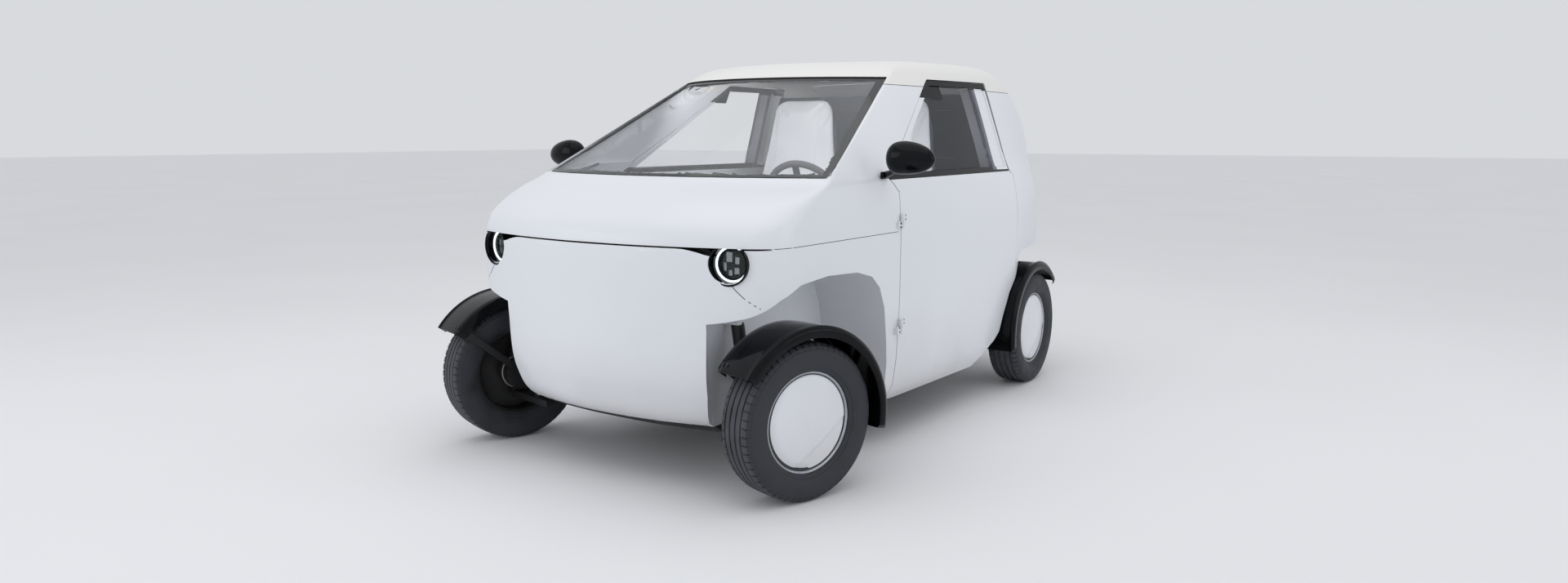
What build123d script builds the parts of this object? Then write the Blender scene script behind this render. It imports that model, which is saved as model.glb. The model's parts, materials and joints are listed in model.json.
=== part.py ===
"""Two-seat electric microcar: moulded body panels, doors, tailgate, open mudguards, running gear."""
import os
from math import cos, radians, sin

from build123d import *

os.makedirs("parts", exist_ok=True)

# ---------------------------------------------------------------- driving dimensions, mm
# Frame: +X the car's left, +Y the tail, +Z up, origin on the ground under the middle of the car.
front_axle_y = -1095.0
rear_axle_y = 858.0
track_half = 652.0
shut_gap = 5.0
seat_clearance = 0.3

wall = 45.0
floor_top = 215.0
belt_z = 985.0
roof_split_z = 1330.0
tail_lower_z = 620.0
gate_lower_z = 935.0
bonnet_line_z = 800.0

tyre_radius = 254.0
tyre_width = 145.0
rim_radius = 152.0
flange_radius = 163.0
rim_width = 110.0
cover_radius = 156.0
spindle_radius = 20.0

steer_rest = 18.7
kingpin_offset = 30.0
guard_radius = 306.0
guard_skin = 12.0
guard_width = 184.0
guard_rear_angle = -12.0
guard_front_angle = 145.0
bracket_angles = (20.0, 140.0)
bracket_width = 26.0
bracket_thickness = 8.0
bracket_root = 52.0

# ---------------------------------------------------------------- body surface
# One row for each level of the body: height, y of the nose on the centre line, how far the nose
# falls back at its corners, half width at the nose corner, at the widest place and at the tail
# corner, y of the widest place, y of the tail, its fall at the corners, nose and tail corner radii.
COLUMNS = ("z", "nose", "bow", "front", "widest", "tail_half", "y_widest",
           "tail", "tail_bow", "nose_r", "tail_r")
LEVELS = [
    (160, -1130, 120, 560, 645, 560, 625, 1300, 30, 150, 170),
    (195, -1225, 135, 600, 656, 565, 640, 1325, 30, 150, 180),
    (235, -1290, 142, 622, 666, 566, 655, 1338, 30, 150, 185),
    (330, -1335, 140, 636, 678, 564, 662, 1346, 30, 150, 190),
    (540, -1350, 132, 646, 688, 560, 665, 1350, 30, 150, 190),
    (770, -1350, 127, 650, 688, 557, 665, 1350, 30, 145, 190),
    (825, -1343, 127, 650, 685, 553, 665, 1348, 30, 145, 190),
    (862, -1322, 128, 650, 681, 548, 660, 1344, 30, 138, 190),
    (905, -1262, 132, 650, 675, 542, 655, 1336, 30, 120, 188),
    (950, -1170, 140, 649, 665, 533, 650, 1322, 30, 85, 185),
    (985, -1072, 148, 645, 656, 531, 640, 1303, 30, 40, 180),
    (1010, -1028, 152, 634, 647, 531, 625, 1289, 30, 26, 180),
    (1160, -761, 180, 572, 604, 548, 580, 1187, 30, 24, 170),
    (1290, -532, 203, 518, 566, 546, 535, 1060, 30, 24, 160),
    (1362, -405, 214, 486, 543, 530, 510, 968, 30, 34, 150),
    (1398, -318, 195, 470, 528, 516, 500, 900, 30, 55, 145),
    (1422, -212, 160, 448, 508, 496, 495, 825, 30, 75, 140),
    (1434, -90, 120, 422, 488, 474, 490, 745, 30, 90, 130),
    (1440, 60, 80, 392, 462, 450, 460, 640, 30, 90, 112),
]
SIDE_BULGE = 7.0
TAIL_SIDE_BULGE = 10.0
TOP_DROP = 35.0 / 45.0


def level_sketch(level, inset):
    """One closed level of the body, moved in from the outside by the inset."""
    row = dict(zip(COLUMNS, level))
    drop = inset * TOP_DROP if row["z"] > 790 else 0.0
    nose_y = row["nose"] + inset
    tail_y = row["tail"] - inset
    front = (row["front"] - inset, nose_y + row["bow"])
    widest = (row["widest"] - inset, row["y_widest"])
    tail = (row["tail_half"] - inset, tail_y - row["tail_bow"])
    front_mid = ((front[0] + widest[0]) / 2 + SIDE_BULGE, (front[1] + widest[1]) / 2)
    tail_mid = ((widest[0] + tail[0]) / 2 + TAIL_SIDE_BULGE, (widest[1] + tail[1]) / 2)
    with BuildSketch(Plane.XY.offset(row["z"] - drop)) as sketch:
        with BuildLine():
            ThreePointArc((-front[0], front[1]), (0, nose_y), front)
            ThreePointArc(front, front_mid, widest)
            ThreePointArc(widest, tail_mid, tail)
            ThreePointArc(tail, (0, tail_y), (-tail[0], tail[1]))
            ThreePointArc((-tail[0], tail[1]), (-tail_mid[0], tail_mid[1]), (-widest[0], widest[1]))
            ThreePointArc((-widest[0], widest[1]), (-front_mid[0], front_mid[1]), (-front[0], front[1]))
        make_face()
        by_y = sketch.vertices().sort_by(Axis.Y)
        fillet(by_y[-2:], max(row["tail_r"] - inset, 10.0))
        by_y = sketch.vertices().sort_by(Axis.Y)
        fillet(by_y[:2], max(row["nose_r"] - inset, 8.0))
    return sketch.sketch


def body_skin(inset):
    """The closed body surface, moved in by the inset, as one solid."""
    with BuildPart() as skin:
        for level in LEVELS:
            add(level_sketch(level, inset))
        loft(ruled=True)
    return skin.part


def side_prism(points, near, far, side=1, grow=0.0):
    """A side-view outline (y, z) carried across the car from one half width to another."""
    start = near if side > 0 else -far
    with BuildPart() as prism:
        with BuildSketch(Plane.YZ.offset(start)):
            with BuildLine():
                Polyline(*points, close=True)
            make_face()
            if grow:
                offset(amount=grow, kind=Kind.INTERSECTION)
        extrude(amount=far - near)
    return prism.part


def block(x0, x1, y0, y1, z0, z1):
    with BuildPart() as box:
        with BuildSketch(Plane.XY.offset(z0)):
            with Locations(((x0 + x1) / 2, (y0 + y1) / 2)):
                Rectangle(x1 - x0, y1 - y0)
        extrude(amount=z1 - z0)
    return box.part


# ---------------------------------------------------------------- side-view outlines (y, z)
# Distances that are simply beyond the body.
FAR_OUT = 900.0
FAR_ALONG = 1500.0
FAR_UP = 2000.0
scoop_inner_x = 395.0
scoop_skin = 30.0
arch_skin = 30.0
SCOOP_SIDE = [(-1500, 60), (-1500, 520), (-1348, 536), (-1275, 572), (-1175, 638), (-1085, 672),
              (-930, 684), (-745, 676), (-645, 652), (-590, 610), (-553, 535), (-522, 400),
              (-505, 250), (-500, 60)]
SCOOP_PLAN = [(scoop_inner_x, -455), (scoop_inner_x, -1225), (505, -1400), (505, -1500),
              (FAR_OUT, -1500), (FAR_OUT, -455)]
REAR_CUT = [(315, 60), (323, 165), (395, 205), (485, 250), (532, 287), (559, 363), (609, 452),
            (685, 521), (715, 590), (737, 612), (770, tail_lower_z), (1500, tail_lower_z), (1500, 60)]
door_front_y = -445.0
door_rear_y = 682.0
DOOR_OPENING_LOWER = [(door_front_y, 100), (door_front_y, 1000), (door_rear_y, 1000), (door_rear_y, 100)]
DOOR_OPENING_UPPER = [(door_front_y, 940), (-507, 990), (57, 1352), (75, 1362), (590, 1366),
                      (645, 990), (door_rear_y, 955), (door_rear_y, 940)]
# The door itself is 8 mm shorter at its rear edge, so that it swings past the pillar.
DOOR_UPPER = [(door_front_y, 940), (-507, 990), (49, 1352), (67, 1362), (582, 1366),
              (637, 990), (door_rear_y, 955), (door_rear_y, 940)]
upper_overlap = 10.0
DOOR_BAR = [(470, 900), (495, 900), (455, 1500), (430, 1500)]
window_frame = 22.0
floor_half = 590.0
door_inner_x = 596.0
upper_inner_x = 430.0
fascia_rear_y = -1203.0
roof_split_y = 125.0
gate_half = 452.0
gate_front_y = 758.0
tail_panel_y = 1040.0
glass_out = 4.0
glass_in = 10.0
firewall_y = -1000.0
firewall = 20.0
bulkhead_y = 560.0
bulkhead = 28.0
WINDSCREEN = [(-632, 1004), (632, 1004), (479, 1358), (-479, 1358)]
WINDSCREEN_HOLE = [(-588, 1036), (588, 1036), (447, 1328), (-447, 1328)]
WINDSCREEN_SIDE = [(-1300, 1003), (-885, 1003), (-158, 1360), (-600, 1360)]
GATE_GLASS = [(-372, 1052), (372, 1052), (330, 1300), (-330, 1300)]
gate_glass_seal = 24.0
BULKHEAD_WINDOW = [(-440, 1040), (440, 1040), (400, 1250), (-400, 1250)]
bulkhead_half = 580.0
floor_front_part_end = 700.0
floor_rear_end = 1290.0
firewall_top = 640.0
seat_rail_x = 476.0
seat_rail_half = 25.7


def scoop(side, grow):
    """The hollow in the flank in which a front wheel and its mudguard swing."""
    with BuildPart() as plan:
        with BuildSketch(Plane.XY):
            with BuildLine():
                Polyline(*[(side * x, y) for x, y in SCOOP_PLAN], close=True)
            make_face()
            if grow:
                offset(amount=grow, kind=Kind.INTERSECTION)
        extrude(amount=tail_lower_z * 2)
    with BuildPart() as hollow:
        add(side_prism(SCOOP_SIDE, 300, FAR_OUT + 50, side, grow))
        add(plan.part, mode=Mode.INTERSECT)
    return hollow.part


def front_prism(points, near, far, grow=0.0):
    """A front-view outline (x, z) carried back from one y to another."""
    with BuildPart() as prism:
        with BuildSketch(Plane.XZ.offset(-far)):
            with BuildLine():
                Polyline(*points, close=True)
            make_face()
            if grow:
                offset(amount=grow, kind=Kind.INTERSECTION)
        extrude(amount=far - near)
    return prism.part


def door_region(side, gap):
    """What a door takes from the shell, smaller than its opening by the gap."""
    upper = DOOR_UPPER if gap else DOOR_OPENING_UPPER
    with BuildPart() as region:
        add(side_prism(DOOR_OPENING_LOWER, door_inner_x + gap, FAR_OUT, side, -gap))
        add(block(-FAR_OUT, FAR_OUT, -FAR_ALONG, FAR_ALONG, belt_z - upper_overlap, FAR_UP),
            mode=Mode.SUBTRACT)
        add(side_prism(upper, upper_inner_x, FAR_OUT, side, -gap))
    return region.part


def both(first, second, mode=Mode.INTERSECT):
    """Two solids combined: the first kept only inside the second, or only outside it."""
    with BuildPart() as result:
        add(first)
        add(second, mode=mode)
    return result.part


def save(part, name):
    part.label = name
    export_step(part, f"parts/{name}.step")


def without(first, second):
    return both(first, second, Mode.SUBTRACT)


# ---------------------------------------------------------------- shell and its openings
outer = body_skin(0.0)
inner = body_skin(wall)
with BuildPart() as cavity:
    add(inner)
    add(block(-FAR_OUT, FAR_OUT, -FAR_ALONG, FAR_ALONG, floor_top, FAR_ALONG), mode=Mode.INTERSECT)
    add(scoop(1, scoop_skin), mode=Mode.SUBTRACT)
    add(scoop(-1, scoop_skin), mode=Mode.SUBTRACT)
    add(side_prism(REAR_CUT, -FAR_OUT, FAR_OUT, 1, arch_skin), mode=Mode.SUBTRACT)
glass_layer = without(body_skin(glass_out), body_skin(glass_in))
glass_bed = without(outer, body_skin(glass_in))
with BuildPart() as shell:
    add(outer)
    add(cavity.part, mode=Mode.SUBTRACT)
    add(scoop(1, 0), mode=Mode.SUBTRACT)
    add(scoop(-1, 0), mode=Mode.SUBTRACT)
    add(side_prism(REAR_CUT, -FAR_OUT, FAR_OUT, 1), mode=Mode.SUBTRACT)

# ---------------------------------------------------------------- windscreen
windscreen_region = both(front_prism(WINDSCREEN, -1300, 100, -seat_clearance),
                         side_prism(WINDSCREEN_SIDE, -FAR_OUT, FAR_OUT))
windscreen_bed = both(front_prism(WINDSCREEN, -1300, 100, 2.0),
                      side_prism(WINDSCREEN_SIDE, -FAR_OUT, FAR_OUT, 1, 2.0))
with BuildPart() as windscreen:
    add(glass_layer)
    add(windscreen_region, mode=Mode.INTERSECT)
save(windscreen.part, "windscreen")
with BuildPart() as shell_cut:
    add(shell.part)
    add(both(glass_bed, windscreen_bed), mode=Mode.SUBTRACT)
    add(front_prism(WINDSCREEN_HOLE, -1300, 100), mode=Mode.SUBTRACT)

# ---------------------------------------------------------------- headlamps
lamp_x = 510.0
lamp_z = 751.0
lamp_radius = 66.0
lamp_depth = 70.0
lamp_turn = 10.0
lamp_face_y = -1278.0
lamp_pocket = lamp_radius + seat_clearance
lamp_pocket_depth = lamp_depth + 40.0
lamp_top_z = bonnet_line_z - 2.0


def lamp_plane(side):
    """The plane of a headlamp's face, its normal pointing forward and a little outward."""
    turn = radians(lamp_turn)
    return Plane(origin=(side * lamp_x, lamp_face_y, lamp_z), x_dir=(cos(turn), side * sin(turn), 0),
                 z_dir=(side * sin(turn), -cos(turn), 0))


with BuildPart() as lamp_pockets:
    for side in (1, -1):
        with BuildSketch(lamp_plane(side).offset(-lamp_pocket_depth)):
            Circle(lamp_pocket)
        extrude(amount=lamp_pocket_depth + 120)
    add(block(-FAR_OUT, FAR_OUT, -FAR_ALONG, 0, bonnet_line_z, FAR_UP), mode=Mode.SUBTRACT)
with BuildPart() as headlamps:
    for side in (1, -1):
        with BuildSketch(lamp_plane(side).offset(-lamp_depth)):
            Circle(lamp_radius)
        extrude(amount=lamp_depth)
    add(block(-FAR_OUT, FAR_OUT, -FAR_ALONG, 0, lamp_top_z, FAR_UP), mode=Mode.SUBTRACT)
save(headlamps.part, "headlamps")

# ---------------------------------------------------------------- door openings, gate opening, lower panels
with BuildPart() as rest:
    add(shell_cut.part)
    add(lamp_pockets.part, mode=Mode.SUBTRACT)
    add(door_region(1, 0), mode=Mode.SUBTRACT)
    add(door_region(-1, 0), mode=Mode.SUBTRACT)
gate_opening = block(-gate_half, gate_half, gate_front_y, FAR_ALONG, gate_lower_z, FAR_ALONG)
gate_block = block(-gate_half + shut_gap, gate_half - shut_gap, gate_front_y + shut_gap, FAR_ALONG,
                   gate_lower_z + shut_gap, FAR_ALONG)
with BuildPart() as body:
    add(rest.part)
    add(gate_opening, mode=Mode.SUBTRACT)
with BuildPart() as floor_zone:
    add(block(-floor_half, floor_half, -FAR_ALONG, floor_front_part_end, 0, floor_top))
    add(both(side_prism(REAR_CUT, -floor_half, floor_half, 1, arch_skin),
             block(-FAR_OUT, FAR_OUT, 0, floor_rear_end, 0, floor_front_part_end)))
fascia_zone = block(-FAR_OUT, FAR_OUT, -FAR_ALONG, fascia_rear_y, floor_top, bonnet_line_z)
tail_zone = block(-gate_half, gate_half, tail_panel_y, FAR_ALONG, 600, gate_lower_z)
roof_zone = block(-FAR_OUT, FAR_OUT, -FAR_ALONG, FAR_ALONG, roof_split_z, 1600)
front_zone = block(-FAR_OUT, FAR_OUT, -FAR_ALONG, roof_split_y, 0, roof_split_z)

tail_lamp_x = 372.0
tail_lamp_z = 845.0
tail_lamp_radius = 46.0
tail_lamp_y = 1306.0
tail_lamp_face_y = 1336.0
plate_hole_x = 120.0
plate_hole_z = 745.0
plate_hole_radius = 3.3
tow_eye_x = -250.0
tow_eye_z = 680.0
tow_eye_radius = 8.0

with BuildPart() as nose_fascia:
    add(body.part)
    add(floor_zone.part, mode=Mode.SUBTRACT)
    add(fascia_zone, mode=Mode.INTERSECT)
save(nose_fascia.part, "nose_fascia")
with BuildPart() as upper_body:
    add(body.part)
    add(floor_zone.part, mode=Mode.SUBTRACT)
    add(fascia_zone, mode=Mode.SUBTRACT)
roof_shell = both(upper_body.part, roof_zone)
front_shell = both(upper_body.part, front_zone)
with BuildPart() as rear_body:
    add(upper_body.part)
    add(roof_zone, mode=Mode.SUBTRACT)
    add(front_zone, mode=Mode.SUBTRACT)


def rear_round(x, z, radius, y0, y1):
    """A short cylinder along Y."""
    with BuildPart() as round_bar:
        with BuildSketch(Plane(origin=(x, y0, z), x_dir=(-1, 0, 0), z_dir=(0, 1, 0))):
            Circle(radius)
        extrude(amount=y1 - y0)
    return round_bar.part


with BuildPart() as tail_panel:
    add(rear_body.part)
    add(tail_zone, mode=Mode.INTERSECT)
    for side in (1, -1):
        add(rear_round(side * tail_lamp_x, tail_lamp_z, tail_lamp_radius + seat_clearance,
                       tail_lamp_y, FAR_ALONG), mode=Mode.SUBTRACT)
        add(rear_round(side * plate_hole_x, plate_hole_z, plate_hole_radius, 1200, FAR_ALONG),
            mode=Mode.SUBTRACT)
    add(rear_round(tow_eye_x, tow_eye_z, tow_eye_radius, 1200, FAR_ALONG), mode=Mode.SUBTRACT)
save(tail_panel.part, "tail_panel")
with BuildPart() as tail_lamps:
    for side in (1, -1):
        add(rear_round(side * tail_lamp_x, tail_lamp_z, tail_lamp_radius, tail_lamp_y, tail_lamp_face_y))
save(tail_lamps.part, "tail_lamps")
with BuildPart() as quarters:
    add(rear_body.part)
    add(tail_zone, mode=Mode.SUBTRACT)
for side, word in ((1, "left"), (-1, "right")):
    with BuildPart() as quarter:
        add(quarters.part)
        add(block(min(0, side * FAR_OUT), max(0, side * FAR_OUT), -FAR_ALONG, FAR_ALONG, 0, FAR_UP),
            mode=Mode.INTERSECT)
    save(quarter.part, f"quarter_panel_{word}")

# ---------------------------------------------------------------- door hinge knuckles
hinge_x = 681.0
hinge_radius = 8.0
hinge_levels = (430.0, 810.0)
leaf_height = 26.0
leaf_length = 28.0
leaf_root_x = 650.0


def hinge_leaf(side, z, y0, y1):
    """A hinge's plate and its length of barrel, from the body surface out to the pin."""
    with BuildPart() as leaf:
        add(block(min(side * leaf_root_x, side * hinge_x), max(side * leaf_root_x, side * hinge_x),
                  y0, y1, z, z + leaf_height))
        with BuildSketch(Plane.XY.offset(z)):
            with Locations((side * hinge_x, door_front_y)):
                Circle(hinge_radius)
        extrude(amount=leaf_height)
    return leaf.part


with BuildPart() as front_panel:
    add(front_shell)
    for side in (1, -1):
        for z in hinge_levels:
            add(hinge_leaf(side, z, door_front_y - leaf_length, door_front_y))
save(front_panel.part, "front_panel")

gate_hinge_y = gate_front_y + shut_gap / 2
gate_hinge_z = 1434.5
gate_hinge_x = 300.0
gate_hinge_radius = 4.5
gate_leaf = 15.0


def gate_leaf_at(x0, y0, y1):
    """A plate and barrel of a tailgate hinge, its pin along X above the panel gap."""
    with BuildPart() as leaf:
        add(block(x0, x0 + gate_leaf, y0, y1, gate_hinge_z - 20, gate_hinge_z))
        with BuildSketch(Plane.YZ.offset(x0)):
            with Locations((gate_hinge_y, gate_hinge_z)):
                Circle(gate_hinge_radius)
        extrude(amount=gate_leaf)
    return leaf.part


with BuildPart() as roof_panel:
    add(roof_shell)
    for x in (-gate_hinge_x, gate_hinge_x):
        add(gate_leaf_at(x, gate_front_y - 25, gate_hinge_y))
save(roof_panel.part, "roof_panel")

# ---------------------------------------------------------------- doors
for side, word in ((1, "left"), (-1, "right")):
    door = both(shell.part, door_region(side, shut_gap))
    with BuildPart() as door_panel:
        add(door)
        add(block(-FAR_OUT, FAR_OUT, -FAR_ALONG, FAR_ALONG, belt_z, FAR_UP), mode=Mode.SUBTRACT)
        for z in hinge_levels:
            add(hinge_leaf(side, z + leaf_height + 1, door_front_y, door_front_y + leaf_length))
    save(door_panel.part, f"door_panel_{word}")
    pane = side_prism(DOOR_UPPER, upper_inner_x, FAR_OUT, side, -shut_gap - window_frame)
    pane = without(pane, block(-FAR_OUT, FAR_OUT, -FAR_ALONG, FAR_ALONG, 0, belt_z + window_frame))
    pane = without(pane, side_prism(DOOR_BAR, upper_inner_x, FAR_OUT, side))
    with BuildPart() as door_frame:
        add(door)
        add(block(-FAR_OUT, FAR_OUT, -FAR_ALONG, FAR_ALONG, 0, belt_z), mode=Mode.SUBTRACT)
        add(pane, mode=Mode.SUBTRACT)
    save(door_frame.part, f"door_frame_{word}")
    with BuildPart() as door_glass:
        add(glass_layer)
        add(pane, mode=Mode.INTERSECT)
    save(door_glass.part, f"door_glass_{word}")

# ---------------------------------------------------------------- tailgate
gate = both(rest.part, gate_block)
with BuildPart() as tailgate_panel:
    add(gate)
    add(both(glass_bed, front_prism(GATE_GLASS, 800, FAR_ALONG)), mode=Mode.SUBTRACT)
    add(front_prism(GATE_GLASS, 800, FAR_ALONG, -gate_glass_seal), mode=Mode.SUBTRACT)
    for x in (-gate_hinge_x, gate_hinge_x):
        add(gate_leaf_at(x + gate_leaf + 1, gate_hinge_y, gate_front_y + 30))
save(tailgate_panel.part, "tailgate_panel")
with BuildPart() as tailgate_glass:
    add(glass_layer)
    add(front_prism(GATE_GLASS, 800, FAR_ALONG, -seat_clearance), mode=Mode.INTERSECT)
save(tailgate_glass.part, "tailgate_glass")

# ---------------------------------------------------------------- floor, firewall, bulkhead
footwell_half = scoop_inner_x - scoop_skin
with BuildPart() as floor_tub:
    add(body.part)
    add(floor_zone.part, mode=Mode.INTERSECT)
    add(block(-footwell_half + 1, footwell_half - 1, firewall_y, firewall_y + firewall,
              floor_top - 5, firewall_top))
    for side in (1, -1):
        add(block(side * seat_rail_x - seat_rail_half, side * seat_rail_x + seat_rail_half, 480, 590,
                  floor_top - 10, 300))
save(floor_tub.part, "floor_tub")
with BuildPart() as rear_bulkhead:
    add(inner)
    add(block(-bulkhead_half, bulkhead_half, bulkhead_y, bulkhead_y + bulkhead, 0, 1320),
        mode=Mode.INTERSECT)
    add(side_prism(REAR_CUT, -FAR_OUT, FAR_OUT, 1, arch_skin), mode=Mode.SUBTRACT)
    add(front_prism(BULKHEAD_WINDOW, 500, 700), mode=Mode.SUBTRACT)
save(rear_bulkhead.part, "rear_bulkhead")

# ---------------------------------------------------------------- mirrors
mirror_centre = (803.0, -617.0, 1076.0)
mirror_half_width = 78.0
mirror_half_height = 47.0
mirror_end_radius = 33.0
mirror_rim = 24.0
stalk_radius = 9.0
stalk_foot = (654.6, -545.0, 1003.0)
for side, word in ((1, "left"), (-1, "right")):
    centre = (side * mirror_centre[0], mirror_centre[1], mirror_centre[2])
    foot = Vector(side * stalk_foot[0], stalk_foot[1], stalk_foot[2])
    reach = Vector(*centre) - Vector(side * 30, 0, 20) - foot
    with BuildPart() as mirror:
        with BuildSketch(Plane(origin=centre, x_dir=(1, 0, 0), z_dir=(0, -1, 0))):
            with BuildLine():
                end = mirror_half_width - mirror_end_radius
                crown_drop = (end ** 2 - mirror_end_radius ** 2 + mirror_half_height ** 2) / (
                    2 * (mirror_half_height - mirror_end_radius))
                lean = Vector(end, crown_drop - mirror_half_height).normalized()
                tip = Vector(end, 0) + lean * mirror_end_radius
                ends = Vector(end, 0) + (lean + Vector(1, 0)).normalized() * mirror_end_radius
                ThreePointArc((mirror_half_width, 0), ends, tip)
                ThreePointArc(tip, (0, mirror_half_height), (-tip.X, tip.Y))
                ThreePointArc((-tip.X, tip.Y), (-ends.X, ends.Y), (-mirror_half_width, 0))
                Line((-mirror_half_width, 0), (mirror_half_width, 0))
            make_face()
        revolve(axis=Axis(centre, (1, 0, 0)))
        add(block(-FAR_OUT, FAR_OUT, centre[1] + mirror_rim, 0, 900, 1200), mode=Mode.SUBTRACT)
        with BuildSketch(Plane(origin=foot, z_dir=reach)):
            Circle(stalk_radius)
        extrude(amount=reach.length)
        with BuildSketch(Plane(origin=foot - Vector(side * 4, 0, 0), x_dir=(0, 1, 0), z_dir=(side, 0, 0))):
            RectangleRounded(52, 24, 8)
        extrude(amount=12)
    save(mirror.part, f"mirror_{word}")

# ---------------------------------------------------------------- dashboard and steering
wheel_centre = (255.0, -420.0, 885.0)
wheel_rake = 24.0
wheel_rim_radius = 165.0
wheel_tube = 13.0
hub_boss_radius = 30.0
hub_boss_length = 75.0
hub_boss_start = 89.0
spoke_width = 28.0
spoke_depth = 34.0
spoke_start = 30.0
spoke_angles = (0, 90, 180)
column_radius = 34.0
column_length = 330.0
column_start = 420.0
rake = radians(wheel_rake)
column_axis = Vector(0, cos(rake), sin(rake))
dash_half = 575.0
DASH = [(-965, 640), (-965, 800), (-930, 900), (-760, 940), (-690, 900), (-680, 830), (-760, 780),
        (-780, 640)]
with BuildPart() as dashboard:
    add(side_prism(DASH, -dash_half, dash_half))
    add(scoop(1, scoop_skin + 1), mode=Mode.SUBTRACT)
    add(scoop(-1, scoop_skin + 1), mode=Mode.SUBTRACT)
    add(body_skin(wall + 0.3), mode=Mode.INTERSECT)
    column_foot = Vector(*wheel_centre) - column_axis * column_start
    with BuildSketch(Plane(origin=column_foot, z_dir=column_axis)):
        Circle(column_radius)
    extrude(amount=column_length)
save(dashboard.part, "dashboard")
with BuildPart() as steering_wheel:
    with BuildSketch(Plane(origin=wheel_centre, x_dir=(1, 0, 0), z_dir=(0, -sin(rake), cos(rake)))):
        with Locations((wheel_rim_radius, 0)):
            Circle(wheel_tube)
    revolve(axis=Axis(wheel_centre, column_axis))
    hub_foot = Vector(*wheel_centre) - column_axis * hub_boss_start
    with BuildSketch(Plane(origin=hub_foot, z_dir=column_axis)):
        Circle(hub_boss_radius)
    extrude(amount=hub_boss_length)
    spoke_foot = Vector(*wheel_centre) - column_axis * spoke_start
    with BuildSketch(Plane(origin=spoke_foot, x_dir=(1, 0, 0), z_dir=column_axis)):
        for angle in spoke_angles:
            with Locations(Location((0, 0, 0), (0, 0, angle))):
                with Locations((wheel_rim_radius / 2, 0)):
                    Rectangle(wheel_rim_radius, spoke_width)
    extrude(amount=spoke_depth)
save(steering_wheel.part, "steering_wheel")

# ---------------------------------------------------------------- seats
seat_x = 240.0
seat_width = 440.0
SEAT_SHELL = [(-300, 300), (190, 270), (260, 330), (420, 1290), (350, 1300), (205, 480), (-290, 400)]
# Front view of half a seat: its sides taper above the shoulders.
SEAT_FRONT = [(-220, 200), (220, 200), (220, 960), (165, 1310), (-165, 1310), (-220, 960)]
battery_half = 430.0
battery_y = (-280.0, 250.0)
battery_top = 270.0
for side, word in ((1, "left"), (-1, "right")):
    with BuildPart() as seat:
        with BuildSketch(Plane.YZ.offset(side * seat_x - seat_width / 2)):
            with BuildLine():
                Polyline(*SEAT_SHELL, close=True)
            make_face()
        extrude(amount=seat_width)
        with BuildSketch(Plane.XZ.offset(700)):
            with BuildLine():
                Polyline(*[(side * seat_x + x, z) for x, z in SEAT_FRONT], close=True)
            make_face()
        extrude(amount=-1400, mode=Mode.INTERSECT)
    save(seat.part, f"seat_{word}")
with BuildPart() as battery_box:
    add(block(-battery_half, battery_half, *battery_y, floor_top, battery_top - seat_clearance))
save(battery_box.part, "battery_box")

# ---------------------------------------------------------------- running gear
kingpin_x = track_half - kingpin_offset * cos(radians(steer_rest))


class Corner:
    """Where one wheel stands: its centre, and the ways outward, rearward and up from it."""

    def __init__(self, side, axle_y, steer):
        turn = radians(steer)
        self.side = side
        self.outward = Vector(side * cos(turn), -side * sin(turn), 0)
        self.rearward = Vector(sin(turn), cos(turn), 0)
        pivot_x = kingpin_x if steer else track_half
        self.pivot = Vector(side * pivot_x, axle_y, tyre_radius)
        self.centre = self.pivot + self.outward * (kingpin_offset if steer else 0)

    def axle_plane(self):
        """Sketch x is outward along the axle, sketch y is up."""
        return Plane(origin=self.centre, x_dir=self.outward, z_dir=self.outward.cross(Vector(0, 0, 1)))

    def axis(self):
        return Axis(self.centre, self.outward)

    def disc_plane(self, axial):
        """Sketch x is rearward, sketch y is up, at a distance outward of the wheel's middle."""
        return Plane(origin=self.centre + self.outward * axial, x_dir=self.rearward,
                     z_dir=self.outward * self.side)

    def slab_plane(self, inner_axial, outer_axial):
        """The plane from which an extrusion along its normal fills the two axial distances."""
        return self.disc_plane(inner_axial if self.side > 0 else outer_axial)


def ring_sector(corner, inner_r, outer_r, angle0, angle1, axial0, axial1):
    """A curved strip about the axle; angles run from level rearward, over the top, to the front."""
    def at(radius, angle):
        return (radius * cos(radians(angle)), radius * sin(radians(angle)))
    middle = (angle0 + angle1) / 2
    with BuildPart() as sector:
        with BuildSketch(corner.slab_plane(axial0, axial1)):
            with BuildLine():
                ThreePointArc(at(outer_r, angle0), at(outer_r, middle), at(outer_r, angle1))
                Line(at(outer_r, angle1), at(inner_r, angle1))
                ThreePointArc(at(inner_r, angle1), at(inner_r, middle), at(inner_r, angle0))
                Line(at(inner_r, angle0), at(outer_r, angle0))
            make_face()
        extrude(amount=axial1 - axial0)
    return sector.part


def bar(corner, start, end, width, axial0, axial1):
    """A flat bar in the wheel's side view between two (radius, angle) points."""
    points = [(r * cos(radians(a)), r * sin(radians(a))) for r, a in (start, end)]
    (x0, y0), (x1, y1) = points
    length = ((x1 - x0) ** 2 + (y1 - y0) ** 2) ** 0.5
    nx, ny = -(y1 - y0) / length * width / 2, (x1 - x0) / length * width / 2
    with BuildPart() as strip:
        with BuildSketch(corner.slab_plane(axial0, axial1)):
            with BuildLine():
                Polyline((x0 + nx, y0 + ny), (x1 + nx, y1 + ny), (x1 - nx, y1 - ny), (x0 - nx, y0 - ny),
                         close=True)
            make_face()
        extrude(amount=axial1 - axial0)
    return strip.part


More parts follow.
